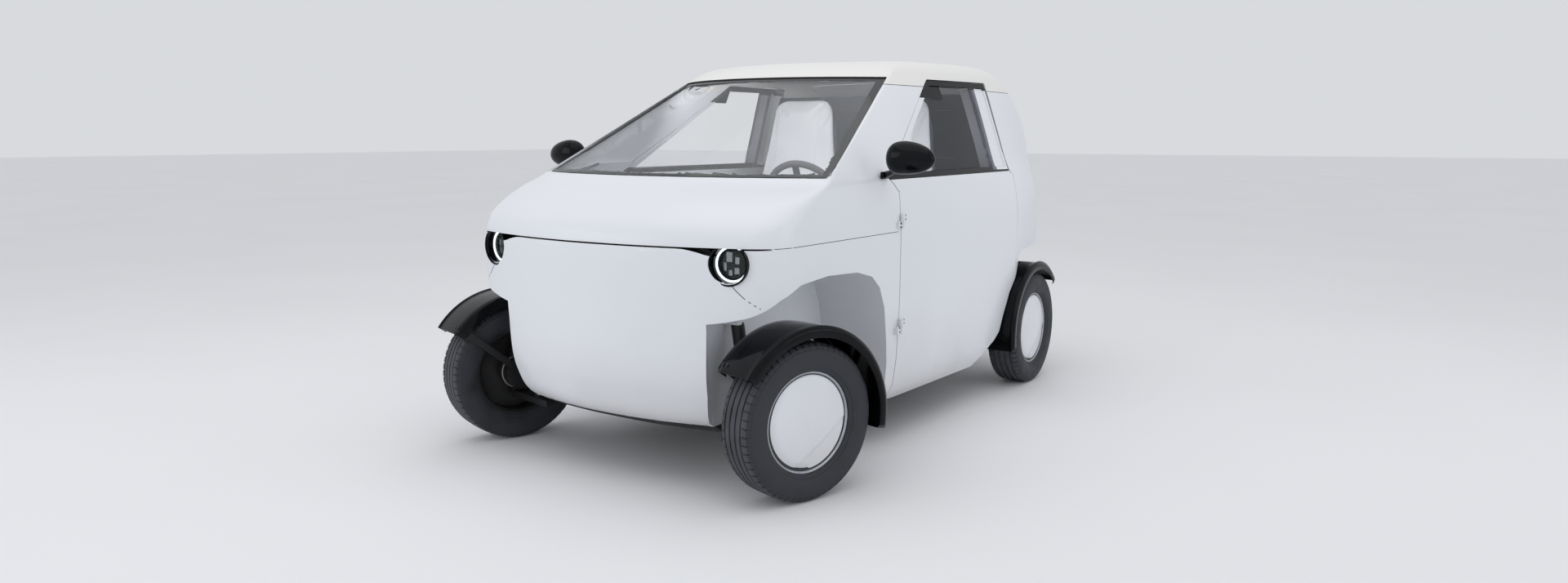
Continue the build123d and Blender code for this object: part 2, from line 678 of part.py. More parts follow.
half_tyre = tyre_width / 2
half_rim = rim_width / 2
hub_face = 16.0
rim_skin = 6.0
hub_radius = 46.0
RIM_PROFILE = [(hub_face - 26, spindle_radius + seat_clearance), (hub_face, spindle_radius + seat_clearance),
               (hub_face + 8, 0), (half_rim + 6, 0), (half_rim + 5, 60), (half_rim + 1, cover_radius),
               (half_rim, flange_radius), (half_rim - 5, flange_radius), (half_rim - 5, rim_radius),
               (-half_rim + 5, rim_radius), (-half_rim + 5, flange_radius), (-half_rim, flange_radius),
               (-half_rim, rim_radius - rim_skin), (hub_face - 10, rim_radius - rim_skin),
               (hub_face - 10, hub_radius), (hub_face - 26, hub_radius)]
tyre_sides = 40
# From the bead to the tread's middle: distance from the tyre's middle, radius.
TYRE_HALF = [(half_rim + 2, flange_radius + 14), (half_tyre, 205), (half_tyre - 4, 237),
             (half_tyre - 19, tyre_radius)]
guard_half = guard_width / 2
rear_guard_edge = 82.0
lip_height = 5.0
lip_width = 16.0
lip_edge = 4.0
lip_inset = 1.5
bracket_axial = guard_half - 10
arm_thickness = 24.0
spindle_end = hub_face - 4
CORNERS = {
    "front_left": Corner(1, front_axle_y, steer_rest),
    "front_right": Corner(-1, front_axle_y, steer_rest),
    "rear_left": Corner(1, rear_axle_y, 0),
    "rear_right": Corner(-1, rear_axle_y, 0),
}

for place, corner in CORNERS.items():
    with BuildPart() as tyre:
        for axial, radius in [(-x, r) for x, r in TYRE_HALF] + TYRE_HALF[::-1]:
            with BuildSketch(corner.disc_plane(axial)):
                RegularPolygon(radius, tyre_sides, major_radius=False, rotation=180 / tyre_sides)
        loft(ruled=True)
        with BuildSketch(corner.slab_plane(-tyre_width, tyre_width)):
            Circle(flange_radius)
        extrude(amount=2 * tyre_width, mode=Mode.SUBTRACT)
    save(tyre.part, f"tyre_{place}")
    with BuildPart() as wheel:
        with BuildSketch(corner.axle_plane()):
            with BuildLine():
                Polyline(*RIM_PROFILE, close=True)
            make_face()
        revolve(axis=corner.axis())
    save(wheel.part, f"wheel_{place}")

carrier_radius = 60.0
upright_top = 74.0
upright_depth = 28.0
upright_width = 44.0
arm_gap = seat_clearance
eye_radius = 20.0
wall_seat_x = scoop_inner_x + seat_clearance


def carrier(corner, inner_axial):
    """Hub carrier: a drum behind the wheel disc with the fixed spindle that the wheel turns on."""
    with BuildPart() as drum:
        with BuildSketch(corner.axle_plane()):
            with BuildLine():
                Polyline((inner_axial, 0), (spindle_end, 0), (spindle_end, spindle_radius),
                         (hub_face - 36, spindle_radius), (hub_face - 36, 42), (-40, carrier_radius),
                         (inner_axial, carrier_radius), close=True)
            make_face()
        revolve(axis=corner.axis())
    return drum.part


def mudguard(corner, outer_edge, angle0, angle1, bracket):
    """A curved guard with a raised rib along its outer lip, on two flat brackets."""
    with BuildPart() as guard:
        add(ring_sector(corner, guard_radius - guard_skin, guard_radius, angle0, angle1,
                        -guard_half, outer_edge))
        add(ring_sector(corner, guard_radius - guard_skin / 2, guard_radius + lip_height,
                        angle0 + lip_inset, angle1 - lip_inset,
                        outer_edge - lip_width, outer_edge - lip_edge))
        for angle in bracket:
            add(bar(corner, (bracket_root, angle), (guard_radius - guard_skin / 2, angle), bracket_width,
                    -bracket_axial - bracket_thickness, -bracket_axial - seat_clearance))
    return guard.part


for word in ("left", "right"):
    corner = CORNERS[f"front_{word}"]
    guard = mudguard(corner, guard_half, guard_rear_angle, guard_front_angle, bracket_angles)
    save(guard, f"front_mudguard_{word}")
    with BuildPart() as knuckle:
        add(carrier(corner, -bracket_axial))
        upright_plane = Plane(origin=corner.pivot - Vector(0, 0, upright_top), x_dir=corner.outward,
                              z_dir=(0, 0, 1))
        with BuildSketch(upright_plane):
            Rectangle(upright_depth, upright_width)
        extrude(amount=2 * upright_top)
    save(knuckle.part, f"knuckle_{word}")

# ---------------------------------------------------------------- front suspension
damper_radius = 22.0
damper_foot = (484.0, -15.0, 164.0)
damper_head = (426.0, -20.0, 560.0)
damper_mount_x = 450.0
damper_mount_y = (-46.0, 4.0)
damper_mount_z = (540.0, 588.0)
# Each arm: below (-1) or above (1) the upright, and its two ends along the car at the body.
ARMS = ((-1, (-70, 70)), (1, (35, 85)))
with BuildPart() as front_suspension:
    for side in (1, -1):
        pivot = CORNERS["front_left" if side > 0 else "front_right"].pivot
        for level, spread in ARMS:
            base = pivot.Z + (upright_top + arm_gap if level > 0 else -upright_top - arm_gap - arm_thickness)
            with BuildSketch(Plane.XY.offset(base)):
                with BuildLine():
                    Polyline((pivot.X, pivot.Y - 20), (pivot.X, pivot.Y + 20),
                             (side * wall_seat_x, pivot.Y + spread[1]),
                             (side * wall_seat_x, pivot.Y + spread[0]), close=True)
                make_face()
                with Locations((pivot.X, pivot.Y)):
                    Circle(eye_radius)
            extrude(amount=arm_thickness)
        foot = Vector(side * damper_foot[0], pivot.Y + damper_foot[1], damper_foot[2])
        head = Vector(side * damper_head[0], pivot.Y + damper_head[1], damper_head[2])
        with BuildSketch(Plane(origin=foot, z_dir=head - foot)):
            Circle(damper_radius)
        extrude(amount=(head - foot).length)
        mount_x = sorted((side * wall_seat_x, side * damper_mount_x))
        add(block(*mount_x, pivot.Y + damper_mount_y[0], pivot.Y + damper_mount_y[1], *damper_mount_z))
save(front_suspension.part, "front_suspension")

# ---------------------------------------------------------------- rear axle, drive unit, mudguards
rear_guard_angles = (41.0, 192.0)
rear_brackets = (50.0, 130.0)
arm_axial = -118.0
arm_pivot_y = 560.0
arm_slope = 183.4
arm_height = 52.0
arm_width = 32.0
arm_boss_radius = 40.0
cross_tube = (650.0, 238.0)
cross_tube_radius = 30.0
with BuildPart() as rear_suspension:
    for word in ("left", "right"):
        corner = CORNERS[f"rear_{word}"]
        add(carrier(corner, -bracket_axial))
        with BuildSketch(corner.slab_plane(arm_axial - arm_width, -bracket_axial)):
            Circle(arm_boss_radius)
        extrude(amount=-bracket_axial - arm_axial + arm_width)
        add(bar(corner, (0, 0), (rear_axle_y - arm_pivot_y, arm_slope), arm_height,
                arm_axial - arm_width, arm_axial))
    with BuildSketch(Plane.YZ.offset(-track_half - arm_axial)):
        with Locations(cross_tube):
            Circle(cross_tube_radius)
    extrude(amount=2 * (track_half + arm_axial))
save(rear_suspension.part, "rear_axle")
with BuildPart() as rear_mudguards:
    for word in ("left", "right"):
        add(mudguard(CORNERS[f"rear_{word}"], rear_guard_edge, *rear_guard_angles, rear_brackets))
save(rear_mudguards.part, "rear_mudguards")
drive_half = 190.0
drive_ahead = 115.0
drive_behind = 145.0
drive_z = (170.0, 430.0)
hanger_x = 170.0
hanger_half = 20.0
shaft_radius = 13.0
shaft_half = track_half + arm_axial - arm_width - 1
with BuildPart() as drive_unit:
    add(block(-drive_half, drive_half, rear_axle_y - drive_ahead, rear_axle_y + drive_behind, *drive_z))
    for side in (1, -1):
        add(block(side * hanger_x - hanger_half, side * hanger_x + hanger_half, rear_axle_y - 70,
                  rear_axle_y + 90, drive_z[1], tail_lower_z - seat_clearance))
    with BuildSketch(Plane.YZ.offset(-shaft_half)):
        with Locations((rear_axle_y, tyre_radius)):
            Circle(shaft_radius)
    extrude(amount=2 * shaft_half)
save(drive_unit.part, "drive_unit")
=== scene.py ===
# %% [markdown]
# # A two-seat microcar, dressed for a studio picture
#
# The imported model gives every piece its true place. This lesson puts the surface of the real
# thing on it: moulded white panels, black mudguards, grooved tyres, lamps, glass and padded seats.
# Everything is in metres: +X is the car's left, +Y its tail and +Z up.

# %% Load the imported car
import json
from math import atan2, cos, hypot, pi, radians, sin, sqrt

import bmesh
import bpy
import numpy as np
from mathutils import Matrix, Vector
from mathutils.bvhtree import BVHTree

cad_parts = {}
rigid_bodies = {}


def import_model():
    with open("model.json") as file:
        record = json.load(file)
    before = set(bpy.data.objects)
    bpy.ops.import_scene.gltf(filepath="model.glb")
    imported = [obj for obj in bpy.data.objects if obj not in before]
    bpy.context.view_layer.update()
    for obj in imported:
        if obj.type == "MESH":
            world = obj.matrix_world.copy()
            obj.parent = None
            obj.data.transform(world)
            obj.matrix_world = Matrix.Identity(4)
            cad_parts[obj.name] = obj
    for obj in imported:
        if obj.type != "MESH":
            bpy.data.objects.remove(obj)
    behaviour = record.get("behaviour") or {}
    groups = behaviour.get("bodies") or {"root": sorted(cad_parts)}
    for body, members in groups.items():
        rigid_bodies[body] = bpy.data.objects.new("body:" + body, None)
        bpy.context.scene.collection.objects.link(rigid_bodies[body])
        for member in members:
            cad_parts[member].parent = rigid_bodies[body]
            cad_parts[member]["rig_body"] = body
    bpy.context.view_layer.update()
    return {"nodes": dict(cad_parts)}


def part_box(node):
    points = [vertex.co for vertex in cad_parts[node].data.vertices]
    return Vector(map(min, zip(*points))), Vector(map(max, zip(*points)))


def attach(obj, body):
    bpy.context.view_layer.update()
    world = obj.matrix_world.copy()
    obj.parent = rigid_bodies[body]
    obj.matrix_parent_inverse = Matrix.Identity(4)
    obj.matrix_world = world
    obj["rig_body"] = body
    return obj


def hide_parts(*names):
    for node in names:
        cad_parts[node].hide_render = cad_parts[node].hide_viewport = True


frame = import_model()
nodes = frame["nodes"]
MM = 0.001


def linked(name, data):
    """A new object in the scene."""
    holder = bpy.data.objects.new(name, data)
    bpy.context.scene.collection.objects.link(holder)
    return holder


def stored(bm, name):
    """A bmesh as a plain mesh."""
    mesh = bpy.data.meshes.new(name)
    bm.to_mesh(mesh)
    bm.free()
    return mesh


# %% [markdown]
# ## The studio
#
# A white car shows its shape only through slow changes of tone, so the room is one broad soft
# ceiling light, a weaker light from each side and a pale floor that throws some light back up.
# Small hard lights would leave white panels flat and give black trim harsh points. One faint
# light under the roof keeps the seats from sinking into the dark.

# %% Camera
camera = linked("camera", bpy.data.cameras.new("camera"))
bpy.context.scene.camera = camera
camera.location = (2.388, -3.852, 1.142)
camera.rotation_euler = (radians(90 - 8.41), 0, radians(33.04))
camera.data.sensor_fit = "HORIZONTAL"
camera.data.sensor_width = 36.0
camera.data.lens = 24.315
camera.data.clip_end = 200

# %% Soft lights


def soft_light(name, place, aim, width, height, power, colour=(1, 1, 1)):
    """A rectangular lamp with a diffuser, turned towards a point."""
    lamp = bpy.data.lights.new(name, "AREA")
    lamp.shape, lamp.size, lamp.size_y = "RECTANGLE", width, height
    lamp.energy, lamp.color = power, colour
    holder = linked(name, lamp)
    holder.location = place
    holder.rotation_euler = (Vector(aim) - Vector(place)).to_track_quat("-Z", "Y").to_euler()
    return holder


middle = (0, 0, 0.6)
soft_light("ceiling_light", (0.3, -0.8, 4.6), middle, 5.0, 6.0, 52, (1.0, 0.985, 0.965))
soft_light("nose_light", (-3.4, -5.2, 2.4), middle, 3.5, 2.5, 30, (0.93, 0.96, 1.0))
soft_light("flank_light", (5.6, 0.6, 2.2), middle, 3.0, 2.2, 16, (0.93, 0.96, 1.0))
cabin_light = soft_light("cabin_light", (0, -0.34, 1.27), (0, 0.42, 0.95), 0.7, 0.12, 2.4)
cabin_light.visible_camera = False
bpy.context.scene.view_settings.view_transform = "Standard"

# %% [markdown]
# ## How finishes are made
#
# Each finish starts from what the real material is and how its surface was made. Colours are
# written as sRGB hex, as a paint card gives them, and one function turns them to linear light.
# Patterns use Object coordinates, which are metres here, so a pattern's scale is one over its size.

# %% Small helpers for materials


def linear(code):
    """An sRGB hex colour as linear red, green, blue and alpha."""
    parts = [int(code[i:i + 2], 16) / 255 for i in (1, 3, 5)]
    return (*[c / 12.92 if c <= 0.04045 else ((c + 0.055) / 1.055) ** 2.4 for c in parts], 1.0)


def add_node(tree, kind, inputs=None, **settings):
    """Adds a node, sets its options, and sets or links its inputs."""
    node = tree.nodes.new(kind)
    for option, value in settings.items():
        setattr(node, option, value)
    for socket, value in (inputs or {}).items():
        if isinstance(value, bpy.types.NodeSocket):
            tree.links.new(value, node.inputs[socket])
        else:
            node.inputs[socket].default_value = value
    return node


def start_finish(name, colour, roughness, **sockets):
    """A material with one Principled shader. Returns the material, its tree, shader and place."""
    material = bpy.data.materials.new(name)
    material.use_nodes = True
    tree = material.node_tree
    shader = tree.nodes["Principled BSDF"]
    shader.inputs["Base Color"].default_value = linear(colour)
    shader.inputs["Roughness"].default_value = roughness
    for socket, value in sockets.items():
        shader.inputs[socket.replace("_", " ")].default_value = value
    place = add_node(tree, "ShaderNodeTexCoord").outputs["Object"]
    return material, tree, shader, place


def speckle(tree, place, size_mm, detail=2.0, low=0.35, high=0.65, stretch=None):
    """Noise whose blobs are about size_mm across, spread from 0 to 1."""
    if stretch:
        place = add_node(tree, "ShaderNodeMapping", {"Vector": place, "Scale": stretch}).outputs["Vector"]
    noise = add_node(tree, "ShaderNodeTexNoise",
                     {"Vector": place, "Scale": 1000.0 / size_mm, "Detail": detail})
    spread = add_node(tree, "ShaderNodeMapRange", {"Value": noise.outputs["Fac"], "From Min": low,
                                                    "From Max": high})
    return spread.outputs["Result"]


def between(tree, factor, low, high):
    """A number that goes from low to high with the factor."""
    spread = add_node(tree, "ShaderNodeMapRange", {"Value": factor, "To Min": low, "To Max": high})
    return spread.outputs["Result"]


def blend_colours(tree, factor, first, second):
    mix = add_node(tree, "ShaderNodeMix", data_type="RGBA")
    tree.links.new(factor, mix.inputs["Factor"])
    for socket, value in ((mix.inputs[6], first), (mix.inputs[7], second)):
        if isinstance(value, str):
            socket.default_value = linear(value)
        else:
            tree.links.new(value, socket)
    return mix.outputs[2]


def emboss(tree, shader, height, depth_mm, strength=1.0):
    """Turns a height from 0 to 1 into a bump of that depth."""
    bump = add_node(tree, "ShaderNodeBump",
                    {"Height": height, "Distance": depth_mm * MM, "Strength": strength})
    tree.links.new(bump.outputs["Normal"], shader.inputs["Normal"])


def height_shade(tree, place, low_z, high_z):
    """0 at one height above the ground and 1 at another."""
    parts = add_node(tree, "ShaderNodeSeparateXYZ", {"Vector": place})
    return add_node(tree, "ShaderNodeMapRange", {"Value": parts.outputs["Z"], "From Min": low_z,
                                                  "From Max": high_z}).outputs["Result"]


# %% [markdown]
# ### Panels: mass-coloured ABS under an acrylic cap
#
# The body is thermoformed sheet: white ABS with a clear acrylic cap. The cap gives a soft, even
# gloss with broad highlights, and the forming leaves a faint long ripple. A little road dust
# gathers low down. A glossier clear coat, as on steel panels, would look too hard.

# %% White panels and roof


def panel_finish(name, colour, dusty):
    material, tree, shader, place = start_finish(name, colour, 0.34, Coat_Weight=0.25, Coat_Roughness=0.16,
                                                 IOR=1.49)
    dust = speckle(tree, place, 420, 4.0)
    low = height_shade(tree, place, 0.55, 0.15)
    amount = add_node(tree, "ShaderNodeMath", {0: dust, 1: low}, operation="MULTIPLY").outputs["Value"]
    amount = between(tree, amount, 0.0, 0.35)
    tone = blend_colours(tree, speckle(tree, place, 900, 1.0), colour, dusty)
    tree.links.new(blend_colours(tree, amount, tone, "#b9b5ad"), shader.inputs["Base Color"])
    tree.links.new(between(tree, speckle(tree, place, 380, 1.0), 0.3, 0.37), shader.inputs["Roughness"])
    ripple = speckle(tree, place, 620, 0.0, 0.2, 0.8)
    emboss(tree, shader, ripple, 0.5)
    return material


white_panel = panel_finish("white_acrylic_capped_abs", "#eceef2", "#e7e9ee")
warm_roof = panel_finish("warm_white_acrylic_capped_abs", "#f0efec", "#eceae6")

# %% [markdown]
# ### Black parts
#
# Mudguards and mirrors are injection-moulded black plastic from a polished mould: a deep black
# with a sharp reflection and fine swirls from washing. The underside is the same stuff left
# rough, which spreads light and looks dark grey.

# %% Gloss black, rough black, rubber seal


def gloss_black():
    material, tree, shader, place = start_finish("gloss_moulded_black_plastic", "#060709", 0.12, IOR=1.5,
                                                 Specular_IOR_Level=0.16)
    swirl = speckle(tree, place, 9, 5.0, stretch=(1, 1, 0.3))
    haze = speckle(tree, place, 120, 2.0)
    both = add_node(tree, "ShaderNodeMath", {0: swirl, 1: haze}, operation="MULTIPLY").outputs["Value"]
    tree.links.new(between(tree, both, 0.08, 0.18), shader.inputs["Roughness"])
    tree.links.new(blend_colours(tree, haze, "#050608", "#0c0e12"), shader.inputs["Base Color"])
    emboss(tree, shader, speckle(tree, place, 90, 0.0), 0.05)
    return material


def rough_black(name, colour, dust, grain_mm, depth_mm):
    material, tree, shader, place = start_finish(name, colour, 0.6)
    grain = speckle(tree, place, grain_mm, 3.0)
    patches = speckle(tree, place, 160, 4.0)
    tree.links.new(blend_colours(tree, patches, colour, dust), shader.inputs["Base Color"])
    tree.links.new(between(tree, grain, 0.5, 0.72), shader.inputs["Roughness"])
    emboss(tree, shader, grain, depth_mm)
    return material


black_gloss = gloss_black()
black_underside = rough_black("grained_black_polypropylene", "#151618", "#232427", 2.5, 0.3)
seal_rubber = rough_black("extruded_epdm_seal_rubber", "#191a1c", "#202124", 1.6, 0.08)
grey_trim = rough_black("satin_grey_moulded_trim", "#6f7078", "#7b7c84", 2.0, 0.05)
print("materials:", len(bpy.data.materials))

# %% [markdown]
# ### Tyre rubber
#
# Tyre rubber is soft black with carbon, dull where the road scrubs it and slightly shinier on
# the sidewall. Dust sits in it as a brown-grey film, so it never looks pure black.

# %% Tyre rubber


def tyre_rubber(name, colour, worn, depth_mm):
    material, tree, shader, place = start_finish(name, colour, 0.62)
    film = speckle(tree, place, 55, 5.0)
    grit = speckle(tree, place, 3.0, 3.0)
    tree.links.new(blend_colours(tree, film, colour, worn), shader.inputs["Base Color"])
    tree.links.new(between(tree, film, 0.5, 0.78), shader.inputs["Roughness"])
    emboss(tree, shader, grit, depth_mm)
    return material


sidewall_rubber = tyre_rubber("moulded_tyre_sidewall_rubber", "#232429", "#33353c", 0.12)
tread_rubber = tyre_rubber("scrubbed_tyre_tread_rubber", "#34363b", "#4b4d53", 0.35)

# %% [markdown]
# ### Metals, painted and plated
#
# Wheels are pressed steel with silver lacquer, hubs and arms are steel dipped in black
# e-coat, and bolts are zinc plated. Only the bare plating is a true metal to the eye.

# %% Metals


def metal_finish(name, colour, dark, roughness, metallic, grain_mm, depth_mm):
    material, tree, shader, place = start_finish(name, colour, roughness, Metallic=metallic)
    stain = speckle(tree, place, 70, 4.0)
    grain = speckle(tree, place, grain_mm, 2.0)
    tree.links.new(blend_colours(tree, stain, colour, dark), shader.inputs["Base Color"])
    tree.links.new(between(tree, grain, roughness - 0.08, roughness + 0.1), shader.inputs["Roughness"])
    emboss(tree, shader, grain, depth_mm)
    return material


silver_lacquer = metal_finish("silver_lacquered_pressed_steel", "#b9bcc2", "#a7aab0", 0.32, 0.7, 3.0, 0.03)
black_ecoat = metal_finish("black_e_coated_steel", "#17181a", "#232323", 0.42, 0.0, 4.0, 0.12)
zinc_plate = metal_finish("zinc_plated_steel", "#c2c3c0", "#a9aaa6", 0.3, 1.0, 2.0, 0.03)
chrome_plating = metal_finish("chrome_plated_moulding", "#c9cfd2", "#b4bbbf", 0.1, 1.0, 6.0, 0.02)
cast_alloy = metal_finish("sand_cast_aluminium", "#9a9c9e", "#85878a", 0.5, 1.0, 2.5, 0.2)
brake_disc = metal_finish("ground_cast_iron", "#8d8b88", "#6f6c68", 0.38, 1.0, 1.5, 0.05)

# %% [markdown]
# ### Glass and lamp plastics
#
# The windscreen is laminated and the other windows are tempered. Both stay clear, with only a
# faint pale haze. Around the windscreen runs a baked black enamel band that hides the glue. Lamp
# lenses are hard-coated polycarbonate.

# %% Glass, lens, enamel band, light guide


def clear_pane(name, tint, film_tint, alpha, ior):
    """A pane is mostly see-through: what little it stops has the tint of its edge and its film."""
    material, tree, shader, place = start_finish(name, tint, 0.03, Alpha=alpha, IOR=ior, Coat_Weight=1.0)
    film = speckle(tree, place, 260, 3.0)
    tree.links.new(between(tree, film, 0.02, 0.06), shader.inputs["Roughness"])
    tree.links.new(blend_colours(tree, film, tint, film_tint), shader.inputs["Base Color"])
    return material


window_glass = clear_pane("laminated_window_glass", "#eef1f5", "#e6eaef", 0.09, 1.5)
side_glass = clear_pane("tempered_side_glass", "#e6eaef", "#dfe4ea", 0.05, 1.5)
lens_plastic = clear_pane("hard_coated_polycarbonate_lens", "#33423f", "#4a5957", 0.16, 1.58)
enamel_band = rough_black("baked_black_enamel_on_glass", "#1b1c1f", "#24262a", 1.2, 0.02)
enamel_band.node_tree.nodes["Principled BSDF"].inputs["Coat Weight"].default_value = 0.6


def glow(name, colour, strength):
    """A light guide: frosted acrylic lit from its end, so the light is even along it."""
    material, tree, shader, place = start_finish(name, colour, 0.25, Emission_Strength=strength)
    frost = speckle(tree, place, 2.0, 2.0)
    tree.links.new(blend_colours(tree, frost, colour, "#ffffff"), shader.inputs["Emission Color"])
    return material


lamp_ring = glow("lit_frosted_acrylic", "#eaf6ff", 1.1)
print("materials:", len(bpy.data.materials))

# %% [markdown]
# ## Rounding the body
#
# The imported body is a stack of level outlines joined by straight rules, which shows as faint
# bands. The real moulding has no bands. Subdividing the triangles would only copy them, so each
# panel is cut finely and its points are moved onto curves that pass through the same levels.
# The outline table is the one the solids were made from, so nothing changes size.

# %% The body's levels, in millimetres
COLUMNS = ("z", "nose", "bow", "front", "widest", "tail_half", "y_widest",
           "tail", "tail_bow", "nose_r", "tail_r")
LEVELS = [
    (160, -1130, 120, 560, 645, 560, 625, 1300, 30, 150, 170),
    (195, -1225, 135, 600, 656, 565, 640, 1325, 30, 150, 180),
    (235, -1290, 142, 622, 666, 566, 655, 1338, 30, 150, 185),
    (330, -1335, 140, 636, 678, 564, 662, 1346, 30, 150, 190),
    (540, -1350, 132, 646, 688, 560, 665, 1350, 30, 150, 190),
    (770, -1350, 127, 650, 688, 557, 665, 1350, 30, 145, 190),
    (825, -1343, 127, 650, 685, 553, 665, 1348, 30, 145, 190),
    (862, -1322, 128, 650, 681, 548, 660, 1344, 30, 138, 190),
    (905, -1262, 132, 650, 675, 542, 655, 1336, 30, 120, 188),
    (950, -1170, 140, 649, 665, 533, 650, 1322, 30, 85, 185),
    (985, -1072, 148, 645, 656, 531, 640, 1303, 30, 40, 180),
    (1010, -1028, 152, 634, 647, 531, 625, 1289, 30, 26, 180),
    (1160, -761, 180, 572, 604, 548, 580, 1187, 30, 24, 170),
    (1290, -532, 203, 518, 566, 546, 535, 1060, 30, 24, 160),
    (1362, -405, 214, 486, 543, 530, 510, 968, 30, 34, 150),
    (1398, -318, 195, 470, 528, 516, 500, 900, 30, 55, 145),
    (1422, -212, 160, 448, 508, 496, 495, 825, 30, 75, 140),
    (1434, -90, 120, 422, 488, 474, 490, 745, 30, 90, 130),
    (1440, 60, 80, 392, 462, 450, 460, 640, 30, 90, 112),
]
SIDE_BULGE, TAIL_SIDE_BULGE, TOP_DROP = 7.0, 10.0, 35.0 / 45.0
ARC_POINTS = 20


def circle_through(a, b, c):
    """Centre and radius of the circle through three points."""
    (ax, ay), (bx, by), (cx, cy) = a, b, c
    d = 2 * (ax * (by - cy) + bx * (cy - ay) + cx * (ay - by))
    a2, b2, c2 = ax * ax + ay * ay, bx * bx + by * by, cx * cx + cy * cy
    x = (a2 * (by - cy) + b2 * (cy - ay) + c2 * (ay - by)) / d
    y = (a2 * (cx - bx) + b2 * (ax - cx) + c2 * (bx - ax)) / d
    return np.array((x, y)), hypot(ax - x, ay - y)


def arc_points(centre, radius, start, end):
    """Points along the shorter arc from start to end."""
    a0 = atan2(start[1] - centre[1], start[0] - centre[0])
    turn = (atan2(end[1] - centre[1], end[0] - centre[0]) - a0 + pi) % (2 * pi) - pi
    angles = a0 + turn * np.linspace(0, 1, ARC_POINTS)
    return centre + radius * np.column_stack((np.cos(angles), np.sin(angles)))


def fillet_between(first, second, radius, near):
    """Centre of the fillet inside two circles, and where it touches each."""
    (c1, r1), (c2, r2) = first, second
    d1, d2, gap = r1 - radius, r2 - radius, np.linalg.norm(c2 - c1)
    along = (d1 ** 2 - d2 ** 2 + gap ** 2) / (2 * gap)
    across = sqrt(max(d1 ** 2 - along ** 2, 0))
    unit = (c2 - c1) / gap
    normal = np.array((-unit[1], unit[0]))
    found = min((c1 + unit * along + s * normal * across for s in (1, -1)),
                key=lambda p: np.linalg.norm(p - near))
    touch = [c + (found - c) / np.linalg.norm(found - c) * r for c, r in (first, second)]
    return found, touch


def half_outline(level, inset):
    """The left half of one level, from the nose to the tail, as points in millimetres."""
    row = dict(zip(COLUMNS, level))
    nose, tail = row["nose"] + inset, row["tail"] - inset
    front = np.array((row["front"] - inset, nose + row["bow"]))
    widest = np.array((row["widest"] - inset, row["y_widest"]))
    back = np.array((row["tail_half"] - inset, tail - row["tail_bow"]))
    mirror = np.array((-1, 1))
    nose_arc = circle_through(front * mirror, (0, nose), front)
    side_arc = circle_through(front, (front + widest) / 2 + (SIDE_BULGE, 0), widest)
    rear_arc = circle_through(widest, (widest + back) / 2 + (TAIL_SIDE_BULGE, 0), back)
    tail_arc = circle_through(back, (0, tail), back * mirror)
    nose_r, tail_r = max(row["nose_r"] - inset, 8.0), max(row["tail_r"] - inset, 10.0)
    nose_mid, nose_touch = fillet_between(nose_arc, side_arc, nose_r, front)
    tail_mid, tail_touch = fillet_between(rear_arc, tail_arc, tail_r, back)
    runs = (arc_points(*nose_arc, (0, nose), nose_touch[0]), arc_points(nose_mid, nose_r, *nose_touch),
            arc_points(*side_arc, nose_touch[1], widest), arc_points(*rear_arc, widest, tail_touch[0]),
            arc_points(tail_mid, tail_r, *tail_touch), arc_points(*tail_arc, tail_touch[1], (0, tail)))
    flat = np.vstack([run[:-1] for run in runs[:-1]] + [runs[-1]])
    drop = inset * TOP_DROP if row["z"] > 790 else 0.0
    return np.column_stack((flat, np.full(len(flat), row["z"] - drop)))


# %% A skin at each depth below the surface
LAYERS = (0.0, 4.0, 10.0, 45.0)     # outside, glass outside, glass inside, panel inside


def skin_grid(inset):
    """Points and their slopes from level to level, in metres."""
    points = np.array([half_outline(level, inset) for level in LEVELS]) * MM
    steps = np.linalg.norm(np.diff(points, axis=0), axis=2).mean(axis=1) ** 0.75
    slope = np.diff(points, axis=0) / steps[:, None, None]
    inside = ((slope[:-1] * steps[1:, None, None] + slope[1:] * steps[:-1, None, None])
              / (steps[1:] + steps[:-1])[:, None, None])
    return points, np.concatenate((slope[:1], inside, slope[-1:])), steps


GRIDS = {inset: skin_grid(inset) for inset in LAYERS}


def on_skin(grid, row, t, column, s):
    """The straight-ruled point, the curved point and the outward normal at places of a skin."""
    points, slopes, steps = grid
    h = steps[row][:, None]
    t, s = t[:, None], s[:, None]

    def across(values, shift):
        near, far = values[row + shift, column], values[row + shift, column + 1]
        return near + (far - near) * s, far - near
    (a, da), (b, db) = across(points, 0), across(points, 1)
    (ma, dma), (mb, dmb) = across(slopes, 0), across(slopes, 1)
    w = (2 * t ** 3 - 3 * t ** 2 + 1, -2 * t ** 3 + 3 * t ** 2, t ** 3 - 2 * t ** 2 + t, t ** 3 - t ** 2)
    dw = (6 * t ** 2 - 6 * t, -6 * t ** 2 + 6 * t, 3 * t ** 2 - 4 * t + 1, 3 * t ** 2 - 2 * t)
    curved = w[0] * a + w[1] * b + (w[2] * ma + w[3] * mb) * h
    up = dw[0] * a + dw[1] * b + (dw[2] * ma + dw[3] * mb) * h
    along = w[0] * da + w[1] * db + (w[2] * dma + w[3] * dmb) * h
    normal = np.cross(along, up)
    return a + (b - a) * t, curved, normal / np.maximum(np.linalg.norm(normal, axis=1), 1e-12)[:, None]


